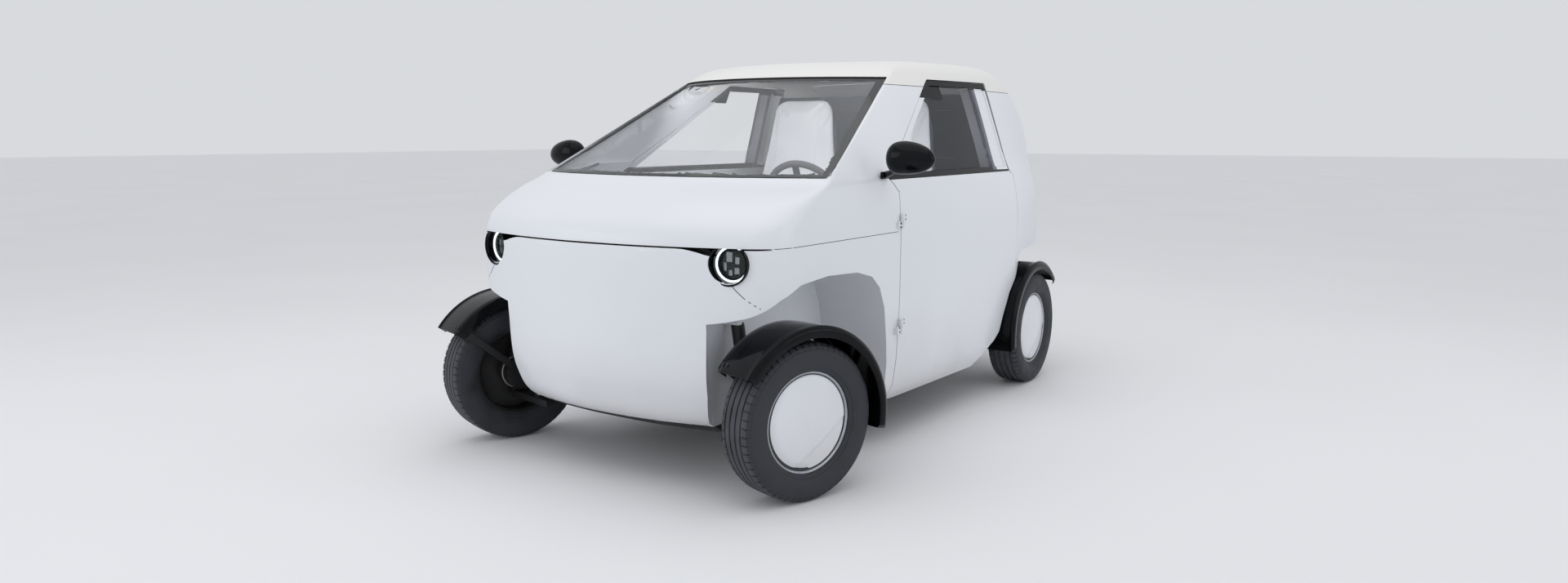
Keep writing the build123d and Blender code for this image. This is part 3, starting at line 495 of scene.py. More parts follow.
def nearest_place(grid, co):
    """Level row, share, column, share and distance of the nearest point on the skin."""
    points = grid[0]
    heights = points[:, 0, 2]
    row = np.clip(np.searchsorted(heights, co[:, 2]) - 1, 0, len(heights) - 2)
    t = np.clip((co[:, 2] - heights[row]) / (heights[row + 1] - heights[row]), 0, 1)
    column, share = np.zeros(len(co), int), np.zeros(len(co))
    distance = np.full(len(co), 9.0)
    for level in np.unique(row):
        for pick in np.array_split(np.flatnonzero(row == level), 1 + np.sum(row == level) // 4000):
            if not len(pick):
                continue
            line = points[level][None] + (points[level + 1] - points[level])[None] * t[pick, None, None]
            start, run = line[:, :-1, :2], np.diff(line[:, :, :2], axis=1)
            offset = co[pick, None, :2] - start
            s = np.clip((offset * run).sum(2) / np.maximum((run ** 2).sum(2), 1e-12), 0, 1)
            gap = np.linalg.norm(offset - run * s[:, :, None], axis=2)
            best = gap.argmin(axis=1)
            ranks = np.arange(len(pick))
            column[pick], share[pick], distance[pick] = best, s[ranks, best], gap[ranks, best]
    return row, t, column, share, distance


# %% [markdown]
# Each point is matched with the skin it lies on. It goes to the curved skin there, and a point
# on no skin, such as one on a cut edge, takes the same small shift as the outside beside it.
# The skins also give the true slope of the surface, which shades better than slopes averaged
# from thin triangles, so it is stored as a custom normal on the faces that lie on a skin.

# %% The rounding of one panel
ON_SKIN = 1.2 * MM
SHARP = radians(30)


def round_points(co):
    """New places and normals of points; a normal of zero is one that lies on no skin."""
    flip = np.column_stack((np.sign(co[:, 0]) + (co[:, 0] == 0), np.ones((len(co), 2))))
    half = co * flip
    moved, normals, closest = half.copy(), np.zeros_like(half), np.full(len(half), ON_SKIN)
    for inset in LAYERS:
        place = nearest_place(GRIDS[inset], half)
        ruled, curved, normal = on_skin(GRIDS[inset], *place[:4])
        if inset == 0.0:
            moved = half + curved - ruled
        near = (place[4] < closest) & (half[:, 2] < GRIDS[inset][0][-1, 0, 2] - 0.2 * MM)
        moved[near], normals[near], closest[near] = curved[near], normal[near], place[4][near]
    return moved * flip, normals * flip


def cut_along(bm, cuts):
    """Cuts a mesh by planes of (point, normal), so that a curve or a colour can change there."""
    for point, normal in cuts:
        bmesh.ops.bisect_plane(bm, geom=bm.verts[:] + bm.edges[:] + bm.faces[:], dist=2e-5,
                               plane_co=point, plane_no=normal)


def fine_cuts(low, high, spacing):
    """Cutting planes across all three axes, at about one spacing from each other."""
    for axis, normal in enumerate(Matrix.Identity(3)):
        count = max(2, round((high[axis] - low[axis]) / spacing))
        for k in range(1, count):
            yield normal * (low[axis] + (high[axis] - low[axis]) * k / count), normal


def copied_mesh(node):
    """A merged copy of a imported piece's mesh, ready to work on."""
    bm = bmesh.new()
    bm.from_mesh(nodes[node].data)
    bmesh.ops.remove_doubles(bm, verts=bm.verts[:], dist=2e-6)
    bmesh.ops.dissolve_degenerate(bm, edges=bm.edges[:], dist=1e-6)
    return bm


def shade_by_angle(mesh, angle=SHARP):
    """Smooth faces, with every edge that turns more than the angle kept sharp."""
    bm = bmesh.new()
    bm.from_mesh(mesh)
    for edge in bm.edges:
        edge.smooth = len(edge.link_faces) == 2 and edge.calc_face_angle(0) < angle
    for face in bm.faces:
        face.smooth = True
    bm.to_mesh(mesh)
    bm.free()


def keep_true_normals(mesh, normals):
    """Stores the skin's normals on the faces that lie on it."""
    corner = np.zeros(len(mesh.loops) * 3)
    mesh.corner_normals.foreach_get("vector", corner)
    corner = corner.reshape(-1, 3)
    vertex = np.zeros(len(mesh.loops), int)
    mesh.loops.foreach_get("vertex_index", vertex)
    face_normal = np.zeros(len(mesh.polygons) * 3)
    mesh.polygons.foreach_get("normal", face_normal)
    total = np.zeros(len(mesh.polygons), int)
    mesh.polygons.foreach_get("loop_total", total)
    flat = np.repeat(face_normal.reshape(-1, 3), total, axis=0)
    true = normals[vertex]
    facing = (true * flat).sum(axis=1)
    fits = np.abs(facing) > cos(SHARP)
    corner[fits] = true[fits] * np.sign(facing[fits])[:, None]
    mesh.normals_split_custom_set(corner.tolist())


def finished_piece(name, mesh, material, body, *replaced):
    """Puts a mesh in the scene as a piece that rides on a body."""
    piece = linked(name, mesh)
    if material:
        mesh.materials.clear()
        mesh.materials.append(material)
    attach(piece, body)
    if replaced:
        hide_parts(*replaced)
    return piece


def paint(mesh, materials, rule):
    """Gives each face the material whose number the rule returns for its centre and normal."""
    mesh.materials.clear()
    for material in materials:
        mesh.materials.append(material)
    for polygon in mesh.polygons:
        polygon.material_index = rule(polygon.center, polygon.normal)


def rounded_panel(node, material, spacing=0.03, cuts=(), rule=None):
    """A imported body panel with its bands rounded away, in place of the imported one."""
    low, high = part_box(node)
    bm = copied_mesh(node)
    cut_along(bm, [*fine_cuts(low, high, spacing), *cuts])
    mesh = stored(bm, f"{node}_surface")
    co = np.zeros(len(mesh.vertices) * 3)
    mesh.vertices.foreach_get("co", co)
    moved, normals = round_points(co.reshape(-1, 3))
    moved = np.clip(moved, np.array(low), np.array(high))
    mesh.vertices.foreach_set("co", moved.ravel())
    mesh.update()
    shade_by_angle(mesh)
    keep_true_normals(mesh, normals)
    if rule:
        paint(mesh, material, rule)
    piece = finished_piece(mesh.name, mesh, None if rule else material, nodes[node]["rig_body"], node)
    print(mesh.name, "faces", len(mesh.polygons), "on skin", int((np.abs(normals).sum(1) > 0).sum()))
    return piece


# %% [markdown]
# ### The white panels
#
# Every moulded panel goes through the same rounding. The roof is a warmer white, because it
# comes from another mould and lies under the sky. The bonnet ends in a lip over the fascia:
# the fascia's top edge stands a few millimetres lower, and falls away beside each lamp, where
# the opening's corner is open. The faces inside that gap are white panel in deep shade, and
# they are painted black as painted shade.

# %% Round the panels
BONNET_Z, LAMP_X = 0.8, 0.510
LIP_GAP, CORNER_GAP, CORNER_REACH, LAMP_REACH = 0.004, 0.020, 0.10, 0.066


def white_or_painted_gap_shade(centre, normal):
    """Painted shade: black where two panels face each other across the bonnet gap."""
    level = abs(centre.z - BONNET_Z) < 0.035 and abs(normal.z) > 0.8 and centre.y < -1.1
    return 1 if level else 0


WHITE_PANELS = ("quarter_panel_left", "quarter_panel_right", "tail_panel", "door_panel_left",
                "door_panel_right", "tailgate_panel")
for node in WHITE_PANELS:
    rounded_panel(node, white_panel)
# The faces inside the bonnet gap are painted black as painted shade.
front = rounded_panel("front_panel", (white_panel, black_underside), rule=white_or_painted_gap_shade)
fascia = rounded_panel("nose_fascia", (white_panel, black_underside), spacing=0.022,
                       rule=white_or_painted_gap_shade)
for vertex in fascia.data.vertices:
    across = abs(vertex.co.x)
    if vertex.co.z > BONNET_Z - 0.025:
        from_lamp = max(0.0, LAMP_X - LAMP_REACH - across)
        falling = CORNER_GAP * max(0.0, 1 - from_lamp / CORNER_REACH) ** 1.6
        vertex.co.z = min(vertex.co.z, BONNET_Z - (LIP_GAP + (falling if across < LAMP_X else 0.0)))
fascia.data.update()
rounded_panel("roof_panel", warm_roof)


def level_at(points, z):
    """The row of levels that a height lies in, and its share of the way up that row."""
    heights = points[:, 0, 2]
    row = int(np.clip(np.searchsorted(heights, z) - 1, 0, len(heights) - 2))
    return row, (z - heights[row]) / (heights[row + 1] - heights[row])


def skin_side_y(inset_grid, x, z):
    """Where the nose side of a skin lies at a place of the front view, in metres."""
    points = inset_grid[0]
    row, t = level_at(points, z)
    line = points[row] + (points[row + 1] - points[row]) * t
    ahead = line[:line[:, 0].argmax() + 1]
    return float(np.interp(abs(x), ahead[:, 0], ahead[:, 1]))


# %% [markdown]
# ### Door frames and windows
#
# A door's upper frame is one moulding in three colours: white along the sloping front, black
# along the head and the belt, and a grey bar across the glass. The windscreen has a printed band
# around its edge. The meshes are cut along each border first, so that the colours meet in a
# clean line.

# %% Frames and panes
HEAD_Z, CORNER_Z, CORNER_Y = 1.330, 1.286, 0.160
BELT_EDGE = ((-0.507, 1.006), (0.636, 0.994))
BAR_FRONT, BAR_REAR, FRONT_MEMBER, REAR_SEAL, HEAD_LINE = -0.006, 0.036, 0.060, -0.007, 0.008
FRONT_EDGE, BAR_EDGE = ((-0.507, 0.990), (0.049, 1.352)), ((0.470, 0.900), (0.430, 1.500))


def beyond(centre, edge):
    """Signed distance of a place behind a sloping line of the side view."""
    (y0, z0), (y1, z1) = edge
    run = hypot(y1 - y0, z1 - z0)
    return ((centre.y - y0) * (z1 - z0) - (centre.z - z0) * (y1 - y0)) / run


def edge_cut(edge, offset):
    """The cutting plane along a sloping line of the side view, moved back by an offset."""
    (y0, z0), (y1, z1) = edge
    run = hypot(y1 - y0, z1 - z0)
    normal = Vector((0, (z1 - z0) / run, -(y1 - y0) / run))
    return Vector((0, y0, z0)) + normal * offset, normal


frame_places = [v.co for v in nodes["door_frame_left"].data.vertices]
REAR_EDGE = ((max(c.y for c in frame_places if c.z < 1.0), 0.99),
             (max(c.y for c in frame_places if c.z > 1.34), 1.35))
UP = Vector((0, 0, 1))


def frame_colour(centre, normal):
    """0 is white, 1 is black and 2 is the grey bar."""
    behind_bar = beyond(centre, BAR_EDGE)
    if beyond(centre, BELT_EDGE) > 0 or centre.z > HEAD_Z or beyond(centre, REAR_EDGE) > REAR_SEAL:
        return 1
    if BAR_FRONT < behind_bar < BAR_REAR:
        return 2
    if behind_bar > 0 or (centre.z > HEAD_Z - HEAD_LINE and centre.y > CORNER_Y):
        return 0
    return 0 if beyond(centre, FRONT_EDGE) < FRONT_MEMBER and centre.z < CORNER_Z else 1


def pane_colour(centre, normal):
    """0 is glass, 1 the black corner, 2 the grey bar, 3 the white behind the bar."""
    behind_bar = beyond(centre, BAR_EDGE)
    if behind_bar > BAR_FRONT:
        return 2 if behind_bar < BAR_REAR else 3
    return 1 if centre.z > CORNER_Z and centre.y < CORNER_Y else 0


SHARED_CUTS = (edge_cut(BAR_EDGE, BAR_FRONT), edge_cut(BAR_EDGE, BAR_REAR), (Vector((0, 0, CORNER_Z)), UP),
               (Vector((0, CORNER_Y, 0)), Vector((0, 1, 0))))
FRAME_CUTS = SHARED_CUTS + (edge_cut(FRONT_EDGE, FRONT_MEMBER), edge_cut(BELT_EDGE, 0),
                            edge_cut(REAR_EDGE, REAR_SEAL), (Vector((0, 0, HEAD_Z)), UP),
                            (Vector((0, 0, HEAD_Z - HEAD_LINE)), UP))
for node in ("door_frame_left", "door_frame_right"):
    rounded_panel(node, (white_panel, black_gloss, grey_trim), cuts=FRAME_CUTS,
                  rule=frame_colour)

SCREEN_FOOT, SCREEN_HEAD = (0.632, 1.004), (0.479, 1.358)
SIDE_RUN = hypot(SCREEN_HEAD[0] - SCREEN_FOOT[0], SCREEN_HEAD[1] - SCREEN_FOOT[1])
SIDE_NORMAL = ((SCREEN_HEAD[1] - SCREEN_FOOT[1]) / SIDE_RUN, (SCREEN_FOOT[0] - SCREEN_HEAD[0]) / SIDE_RUN)
BAND_SIDE, BAND_FOOT, BAND_HEAD = 0.026, 0.009, 0.014


def from_screen_side(centre):
    """How far inside the windscreen's sloping side edge a place is."""
    return (SCREEN_FOOT[0] - abs(centre.x)) * SIDE_NORMAL[0] - (centre.z - SCREEN_FOOT[1]) * SIDE_NORMAL[1]


def screen_colour(centre, normal):
    inside = (from_screen_side(centre) > BAND_SIDE and centre.z > SCREEN_FOOT[1] + BAND_FOOT
              and centre.z < SCREEN_HEAD[1] - BAND_HEAD)
    return 0 if inside else 1


# The panel's ledge under the glass is drawn back until the printed band covers it.
LEDGE_SIDE, LEDGE_FOOT, LEDGE_HEAD = 0.044, 0.032, 0.030
EDGE_SLACK, UNDER_BAND = 0.002, 0.003
THIN_LEDGE, THICK_LEDGE, MIDDLE_SIDE, SCREEN_REAR = 0.075, 0.16, 0.030, -0.10
OUTER_SKIN = -0.0085
for panel in (front, bpy.data.objects["roof_panel_surface"]):
    for vertex in panel.data.vertices:
        x, y, z = vertex.co
        side, foot, head = from_screen_side(vertex.co), z - SCREEN_FOOT[1], SCREEN_HEAD[1] - z
        depth = y - skin_side_y(GRIDS[10.0], x, z)
        thick = side > MIDDLE_SIDE and min(foot, head) < LEDGE_FOOT + 2 * EDGE_SLACK
        limit = THICK_LEDGE if thick else THIN_LEDGE
        if y > SCREEN_REAR or min(side, foot, head) < EDGE_SLACK or abs(depth) > limit:
            continue
        beside = side < LEDGE_SIDE + EDGE_SLACK
        new_side = side * (BAND_SIDE - UNDER_BAND) / LEDGE_SIDE if beside else side
        if foot < LEDGE_FOOT + EDGE_SLACK:
            z = SCREEN_FOOT[1] + foot * (BAND_FOOT - UNDER_BAND) / LEDGE_FOOT
        if head < LEDGE_HEAD + EDGE_SLACK:
            z = SCREEN_HEAD[1] - head * (BAND_HEAD - UNDER_BAND) / LEDGE_HEAD
        across = SCREEN_FOOT[0] - (new_side + (z - SCREEN_FOOT[1]) * SIDE_NORMAL[1]) / SIDE_NORMAL[0]
        x = across * (1 if x > 0 else -1) if beside else x
        vertex.co = (x, skin_side_y(GRIDS[10.0], x, z) + depth, z)
    panel.data.update()
    panel.data.materials.append(enamel_band)
    for polygon in panel.data.polygons:
        x, y, z = polygon.center
        side, inside = from_screen_side(polygon.center), min(z - SCREEN_FOOT[1], SCREEN_HEAD[1] - z)
        limit = THICK_LEDGE if side > MIDDLE_SIDE and inside < LEDGE_HEAD else THIN_LEDGE
        shown = y < SCREEN_REAR and inside > 0.5 * MM and side >= min(inside, LEDGE_SIDE)
        if shown and OUTER_SKIN < y - skin_side_y(GRIDS[10.0], x, z) < limit:
            polygon.material_index = len(panel.data.materials) - 1

SCREEN_CUTS = [(Vector((0, 0, SCREEN_FOOT[1] + BAND_FOOT)), UP),
               (Vector((0, 0, SCREEN_HEAD[1] - BAND_HEAD)), UP)]
for side in (1, -1):
    outward = Vector((side * SIDE_NORMAL[0], 0, SIDE_NORMAL[1]))
    SCREEN_CUTS.append((Vector((side * SCREEN_FOOT[0], 0, SCREEN_FOOT[1])) - outward * BAND_SIDE, outward))
rounded_panel("windscreen", (window_glass, enamel_band), spacing=0.05, cuts=SCREEN_CUTS,
              rule=screen_colour)
for node in ("door_glass_left", "door_glass_right"):
    rounded_panel(node, (side_glass, black_gloss, grey_trim, white_panel), spacing=0.05,
                  cuts=SHARED_CUTS, rule=pane_colour)
rounded_panel("tailgate_glass", side_glass, spacing=0.05)

# The gate's front lip is drawn back a little, so that it clears the roof when the gate is up.
GATE_LIP_Y, GATE_LIP_DEPTH, GATE_LIP_Z, LIP_BACK, LIP_DOWN = 0.778, 0.018, 1.38, 0.006, 0.003
for vertex in bpy.data.objects["tailgate_panel_surface"].data.vertices:
    near = min(1.0, max(0.0, (GATE_LIP_Y - vertex.co.y) / GATE_LIP_DEPTH))
    if vertex.co.z > GATE_LIP_Z:
        vertex.co.y += LIP_BACK * near
        vertex.co.z -= LIP_DOWN * near

# %% [markdown]
# ## Shapes that turn and repeat
#
# Wheels, guards and bolts come from a few small makers. A lathe turns a closed outline about
# the X axis. A Geometry Nodes tree sets copies of one slice in a ring, and another sets screw
# heads on marked points. Both trees realize their copies, because a saved model keeps no
# instances, and the result is then stored as a plain mesh.

# %% Lathe and sweep


def placed(mesh, matrix):
    """Moves a mesh for good, and turns its faces back out after a mirroring matrix."""
    mesh.transform(matrix)
    if matrix.determinant() < 0:
        mesh.flip_normals()
    mesh.update()
    return mesh


def faces_outward(bm):
    bmesh.ops.remove_doubles(bm, verts=bm.verts[:], dist=1e-6)
    bmesh.ops.recalc_face_normals(bm, faces=bm.faces[:])


def lathe(name, outline, steps=96, matrix=None):
    """Turns a closed outline of (along X, radius) points about the X axis."""
    bm = bmesh.new()
    rings = []
    for k in range(steps):
        a = 2 * pi * k / steps
        rings.append([bm.verts.new((x, r * cos(a), r * sin(a))) for x, r in outline])
    for k in range(steps):
        ring, following = rings[k], rings[(k + 1) % steps]
        for i in range(len(outline)):
            j = (i + 1) % len(outline)
            bm.faces.new((ring[i], ring[j], following[j], following[i]))
    faces_outward(bm)
    mesh = stored(bm, name)
    shade_by_angle(mesh)
    return placed(mesh, matrix) if matrix else mesh


def swept(name, rings, matrix=None, angle=SHARP):
    """Joins rings of equally many points, with a cap at each end."""
    bm = bmesh.new()
    made = [[bm.verts.new(p) for p in ring] for ring in rings]
    for ring, following in zip(made, made[1:]):
        for i in range(len(ring)):
            j = (i + 1) % len(ring)
            bm.faces.new((ring[i], ring[j], following[j], following[i]))
    bm.faces.new(made[0])
    bm.faces.new(made[-1][::-1])
    faces_outward(bm)
    mesh = stored(bm, name)
    shade_by_angle(mesh, angle)
    return placed(mesh, matrix) if matrix else mesh


def joined(name, meshes):
    """One mesh of several, with their materials kept."""
    bm = bmesh.new()
    materials = []
    for mesh in meshes:
        remap = []
        for material in mesh.materials:
            if material not in materials:
                materials.append(material)
            remap.append(materials.index(material))
        start = len(bm.faces)
        bm.from_mesh(mesh)
        bm.faces.ensure_lookup_table()
        for face in bm.faces[start:]:
            face.material_index = remap[face.material_index] if remap else 0
    result = stored(bm, name)
    for material in materials:
        result.materials.append(material)
    return result


def coloured(mesh, material):
    mesh.materials.clear()
    mesh.materials.append(material)
    return mesh


# %% [markdown]
# The ring tree takes its count as a named input. A modifier's input is set through the socket's
# identifier, and before the object is evaluated for the first time.

# %% Trees for rings and screws


def new_tree(name, inputs):
    """A Geometry Nodes tree with a geometry in and out and the named inputs."""
    tree = bpy.data.node_groups.new(name, "GeometryNodeTree")
    tree.interface.new_socket("Geometry", in_out="INPUT", socket_type="NodeSocketGeometry")
    tree.interface.new_socket("Geometry", in_out="OUTPUT", socket_type="NodeSocketGeometry")
    for title, (kind, value) in inputs.items():
        socket = tree.interface.new_socket(title, in_out="INPUT", socket_type=f"NodeSocket{kind}")
        socket.default_value = value
    return tree, tree.nodes.new("NodeGroupInput"), tree.nodes.new("NodeGroupOutput")


def evaluated(holder):
    return holder.evaluated_get(bpy.context.evaluated_depsgraph_get())


def taken_from(holder):
    """What an object's modifiers make of it, as a plain mesh. The object is removed."""
    result = bpy.data.meshes.new_from_object(evaluated(holder))
    bpy.data.objects.remove(holder)
    return result


def made_by_tree(mesh, tree, values):
    """Runs a tree on a mesh with the given input values, and returns the result as a plain mesh."""
    holder = linked("tree_holder", mesh)
    modifier = holder.modifiers.new("tree", "NODES")
    modifier.node_group = tree
    for item in tree.interface.items_tree:
        if item.in_out == "INPUT" and item.name in values:
            modifier[item.identifier] = values[item.name]
    return taken_from(holder)


def ring_tree(finish):
    """Sets copies of a slice in a ring about the X axis."""
    tree, given, result = new_tree("ring_of_slices", {"Count": ("Int", 60)})
    points = add_node(tree, "GeometryNodePoints", {"Count": given.outputs["Count"]})
    step = add_node(tree, "ShaderNodeMath", {0: 2 * pi, 1: given.outputs["Count"]}, operation="DIVIDE")
    turn = add_node(tree, "ShaderNodeMath", {0: add_node(tree, "GeometryNodeInputIndex").outputs[0],
                                             1: step.outputs[0]}, operation="MULTIPLY")
    angles = add_node(tree, "ShaderNodeCombineXYZ", {"X": turn.outputs[0]})
    copies = add_node(tree, "GeometryNodeInstanceOnPoints",
                      {"Points": points.outputs[0], "Instance": given.outputs["Geometry"],
                       "Rotation": add_node(tree, "FunctionNodeEulerToRotation",
                                            {"Euler": angles.outputs[0]}).outputs[0]})
    real = add_node(tree, "GeometryNodeRealizeInstances", {"Geometry": copies.outputs[0]})
    welded = add_node(tree, "GeometryNodeMergeByDistance", {"Geometry": real.outputs[0], "Distance": 2e-5})
    painted = add_node(tree, "GeometryNodeSetMaterial", {"Geometry": welded.outputs[0], "Material": finish})
    tree.links.new(painted.outputs[0], result.inputs[0])
    return tree


def screw_tree(finish):
    """Sets a screw head on every marked point, its axis along the point's facing."""
    tree, given, result = new_tree(f"screw_heads_{finish.name}", {
        "Head radius": ("Float", 0.005), "Head height": ("Float", 0.003), "Sides": ("Int", 6),
        "Washer": ("Float", 1.45)})
    head = add_node(tree, "GeometryNodeMeshCylinder", {"Vertices": given.outputs["Sides"],
                    "Radius": given.outputs["Head radius"], "Depth": given.outputs["Head height"]})
    wide = add_node(tree, "ShaderNodeMath", {0: given.outputs["Head radius"], 1: given.outputs["Washer"]},
                    operation="MULTIPLY")
    thin = add_node(tree, "ShaderNodeMath", {0: given.outputs["Head height"], 1: 0.35}, operation="MULTIPLY")
    washer = add_node(tree, "GeometryNodeMeshCylinder", {"Vertices": 20, "Radius": wide.outputs[0],
                                                         "Depth": thin.outputs[0]})
    lift = add_node(tree, "ShaderNodeMath", {0: given.outputs["Head height"], 1: 0.5}, operation="MULTIPLY")
    upward = add_node(tree, "ShaderNodeCombineXYZ", {"Z": lift.outputs[0]})
    raised = add_node(tree, "GeometryNodeTransform", {"Geometry": head.outputs["Mesh"],
                                                      "Translation": upward.outputs[0]})
    both = add_node(tree, "GeometryNodeJoinGeometry")
    tree.links.new(washer.outputs["Mesh"], both.inputs[0])
    tree.links.new(raised.outputs[0], both.inputs[0])
    facing = add_node(tree, "GeometryNodeInputNamedAttribute", {"Name": "facing"}, data_type="FLOAT_VECTOR")
    aligned = add_node(tree, "FunctionNodeAlignRotationToVector", {"Vector": facing.outputs["Attribute"]},
                       axis="Z")
    copies = add_node(tree, "GeometryNodeInstanceOnPoints",
                      {"Points": given.outputs["Geometry"], "Instance": both.outputs[0],
                       "Rotation": aligned.outputs[0]})
    real = add_node(tree, "GeometryNodeRealizeInstances", {"Geometry": copies.outputs[0]})
    painted = add_node(tree, "GeometryNodeSetMaterial", {"Geometry": real.outputs[0], "Material": finish})
    tree.links.new(painted.outputs[0], result.inputs[0])
    return tree


RING = ring_tree(sidewall_rubber)
SCREWS = {finish: screw_tree(finish) for finish in (black_ecoat, zinc_plate, black_gloss)}


def screws(name, marks, body, finish, radius_mm=5.0, height_mm=3.5, sides=6, washer=1.45):
    """Screw heads at marks of (point, facing) on one body."""
    mesh = bpy.data.meshes.new("marks")
    mesh.from_pydata([tuple(point) for point, _ in marks], [], [])
    facing = mesh.attributes.new("facing", "FLOAT_VECTOR", "POINT")
    facing.data.foreach_set("vector", [c for _, way in marks for c in way])
    made = made_by_tree(mesh, SCREWS[finish], {"Head radius": radius_mm * MM, "Head height": height_mm * MM,
                                               "Sides": sides, "Washer": washer})
    made.name = name
    shade_by_angle(made)
    print(name, len(marks), "screws")
    return finished_piece(name, made, None, body)


# %% [markdown]
# ## Where the wheels stand
#
# Each corner has its own frame: outward along the axle, rearward and up. The front pair is
# steered, and a piece made once in this frame lands at any corner.

# %% Corner frames
TRACK_HALF, TYRE_R, KINGPIN_OFFSET = 0.652, 0.254, 0.030
STEER = radians(18.7)
AXLES = {"front_left": (1, -1.095, STEER), "front_right": (-1, -1.095, STEER),
         "rear_left": (1, 0.858, 0.0), "rear_right": (-1, 0.858, 0.0)}


def corner_frame(corner_name):
    """Matrix from the corner's own frame to the car's."""
    side, axle_y, steer = AXLES[corner_name]
    outward = Vector((side * cos(steer), -side * sin(steer), 0))
    rearward = Vector((sin(steer), cos(steer), 0))
    pivot_x = TRACK_HALF - KINGPIN_OFFSET * cos(STEER) if steer else TRACK_HALF
    centre = Vector((side * pivot_x, axle_y, TYRE_R)) + outward * (KINGPIN_OFFSET if steer else 0)
    columns = Matrix((outward, rearward, UP)).transposed()
    return Matrix.Translation(centre) @ columns.to_4x4()


CORNER = {name: corner_frame(name) for name in AXLES}
for name, matrix in CORNER.items():
    print(name, [round(c, 4) for c in matrix.translation])

# %% [markdown]
# ## Tyres
#
# A small summer tyre has four straight grooves and short slots across each shoulder. The
# pattern repeats about every 27 mm, so one slice is modelled and a ring tree repeats it sixty
# times. A bump texture would leave the tread's edge smooth in outline.

# %% One slice of tread
SLICES = 60
TREAD_OUT, SHOULDER_OUT, SHOULDER_X = 0.2475, 0.24, 0.06
SLOT_SKEW, SLOT_START = 0.010, 45
GROOVES = ((-39, 7), (-13.5, 8), (13.5, 8), (39, 7))     # place across the tread, width, mm
GROOVE_DEPTH, SLOT_DEPTH = 6.0, 4.2
SIDEWALL = [(57, 163.2), (60.5, 167), (63.5, 172), (64.4, 176.5), (66.6, 177.6), (68.2, 183), (70.6, 192),
            (72.2, 203), (72.4, 214), (71.6, 224), (70.2, 231.5), (70.3, 232.8), (69.0, 233.8), (68.0, 239),
            (65.6, 244.4), (62.4, 248.2), (58.4, 250.9), (54.0, 252.2), (49.0, 252.9)]


def tread_outline():
    """Right half of the outline from the bead to the middle, as (across, radius, is slot)."""
    points = [(x, r, 248 < r < 254 and x > SLOT_START) for x, r in SIDEWALL]
    points[-6] = (*points[-6][:2], True)
    for place, width in sorted(GROOVES, reverse=True):
        if place < 0:
            continue
        crown = 254 - 0.0005 * place ** 2
        for edge, deep in ((width / 2, 0), (width / 2 - 1.2, 1), (-width / 2 + 1.2, 1), (-width / 2, 0)):
            points.append((place + edge, crown - GROOVE_DEPTH * deep, False))
    return points


def tread_slice():
    half = tread_outline()
    outline = half + [(-x, r, slot) for x, r, slot in reversed(half)]
    shares = (0.0, 0.03, 0.17, 0.20, 0.6, 1.0)
    slotted = (False, True, True, False, False, False)
    rings = []
    for share, cut in zip(shares, slotted):
        ring = []
        for x, r, slot in outline:
            depth = SLOT_DEPTH if cut and slot else 0.0
            a = 2 * pi / SLICES * share + SLOT_SKEW * max(0, abs(x) - SLOT_START) / 20
            radius = (r - depth) * MM
            ring.append((x * MM, radius * cos(a), radius * sin(a)))
        rings.append(ring)
    faces = []
    n = len(outline)
    for k in range(len(rings) - 1):
        for i in range(n):
            j = (i + 1) % n
            faces.append((k * n + i, k * n + j, (k + 1) * n + j, (k + 1) * n + i))
    mesh = bpy.data.meshes.new("tread_slice")
    mesh.from_pydata([p for ring in rings for p in ring], [], faces)
    mesh.update()
    return mesh


# %% Four tyres
tyre_ring = made_by_tree(tread_slice(), RING, {"Count": SLICES})
bm = bmesh.new()
bm.from_mesh(tyre_ring)
faces_outward(bm)
for face in bm.faces:
    middle_of_face = face.calc_center_median()
    across, out = abs(middle_of_face.x), hypot(middle_of_face.y, middle_of_face.z)
    face.material_index = 1 if out > TREAD_OUT or (across < SHOULDER_X and out > SHOULDER_OUT) else 0
tread_faces = [face.material_index for face in bm.faces]
bm.to_mesh(tyre_ring)
bm.free()
coloured(tyre_ring, sidewall_rubber).materials.append(tread_rubber)
tyre_ring.polygons.foreach_set("material_index", tread_faces)
shade_by_angle(tyre_ring, radians(38))
for name, matrix in CORNER.items():
    mesh = placed(tyre_ring.copy(), matrix)
    piece = finished_piece(f"tyre_{name}_treaded", mesh, None, f"road_wheel_{name}", f"tyre_{name}")
print("tyre faces:", len(tyre_ring.polygons))

# %% [markdown]
# ## Wheels and covers
#
# The wheel is pressed steel with a rolled edge. A white moulded cover snaps inside that edge
# and leaves a dark gap and a thin silver line around it. One side of the cover is pressed back
# behind a straight fold, which catches the light, and its front edge falls away as a crescent.

# %% Rims
RIM_OUTLINE = [(-10, 20.3), (16, 20.3), (22, 24), (24, 60), (22, 118), (30, 132), (44, 141), (49, 147),
               (50.5, 155), (55, 158), (55, 161.2), (53.6, 163), (51.6, 163), (50, 161.6), (48.6, 155.5),
               (46, 152), (20, 148.5), (-30, 150), (-46, 152), (-50, 160), (-51.5, 163), (-55, 163),
               (-55.4, 160.5), (-54, 156), (-51, 150), (-46, 146.2), (-30, 144.5), (4, 143), (8, 128),
               (10, 112), (8, 60), (6, 46), (-10, 46)]
COVER_R, COVER_RIM, DOME, COVER_BACK = 153.4, 52.0, 9.0, 46
FOLD_WAY, FOLD_AT, FOLD_WIDTH, FOLD_DEPTH = (0.551, -0.834), 0.547, 0.03, 2.6
CRESCENT_MIDDLE, CRESCENT_FROM, CRESCENT_DEPTH = (16, 10), 0.93, 70
ROLL_FROM, ROLL_DEPTH = 0.965, 4.0
LACQUER_X, LACQUER_R = 0.045, 0.1535


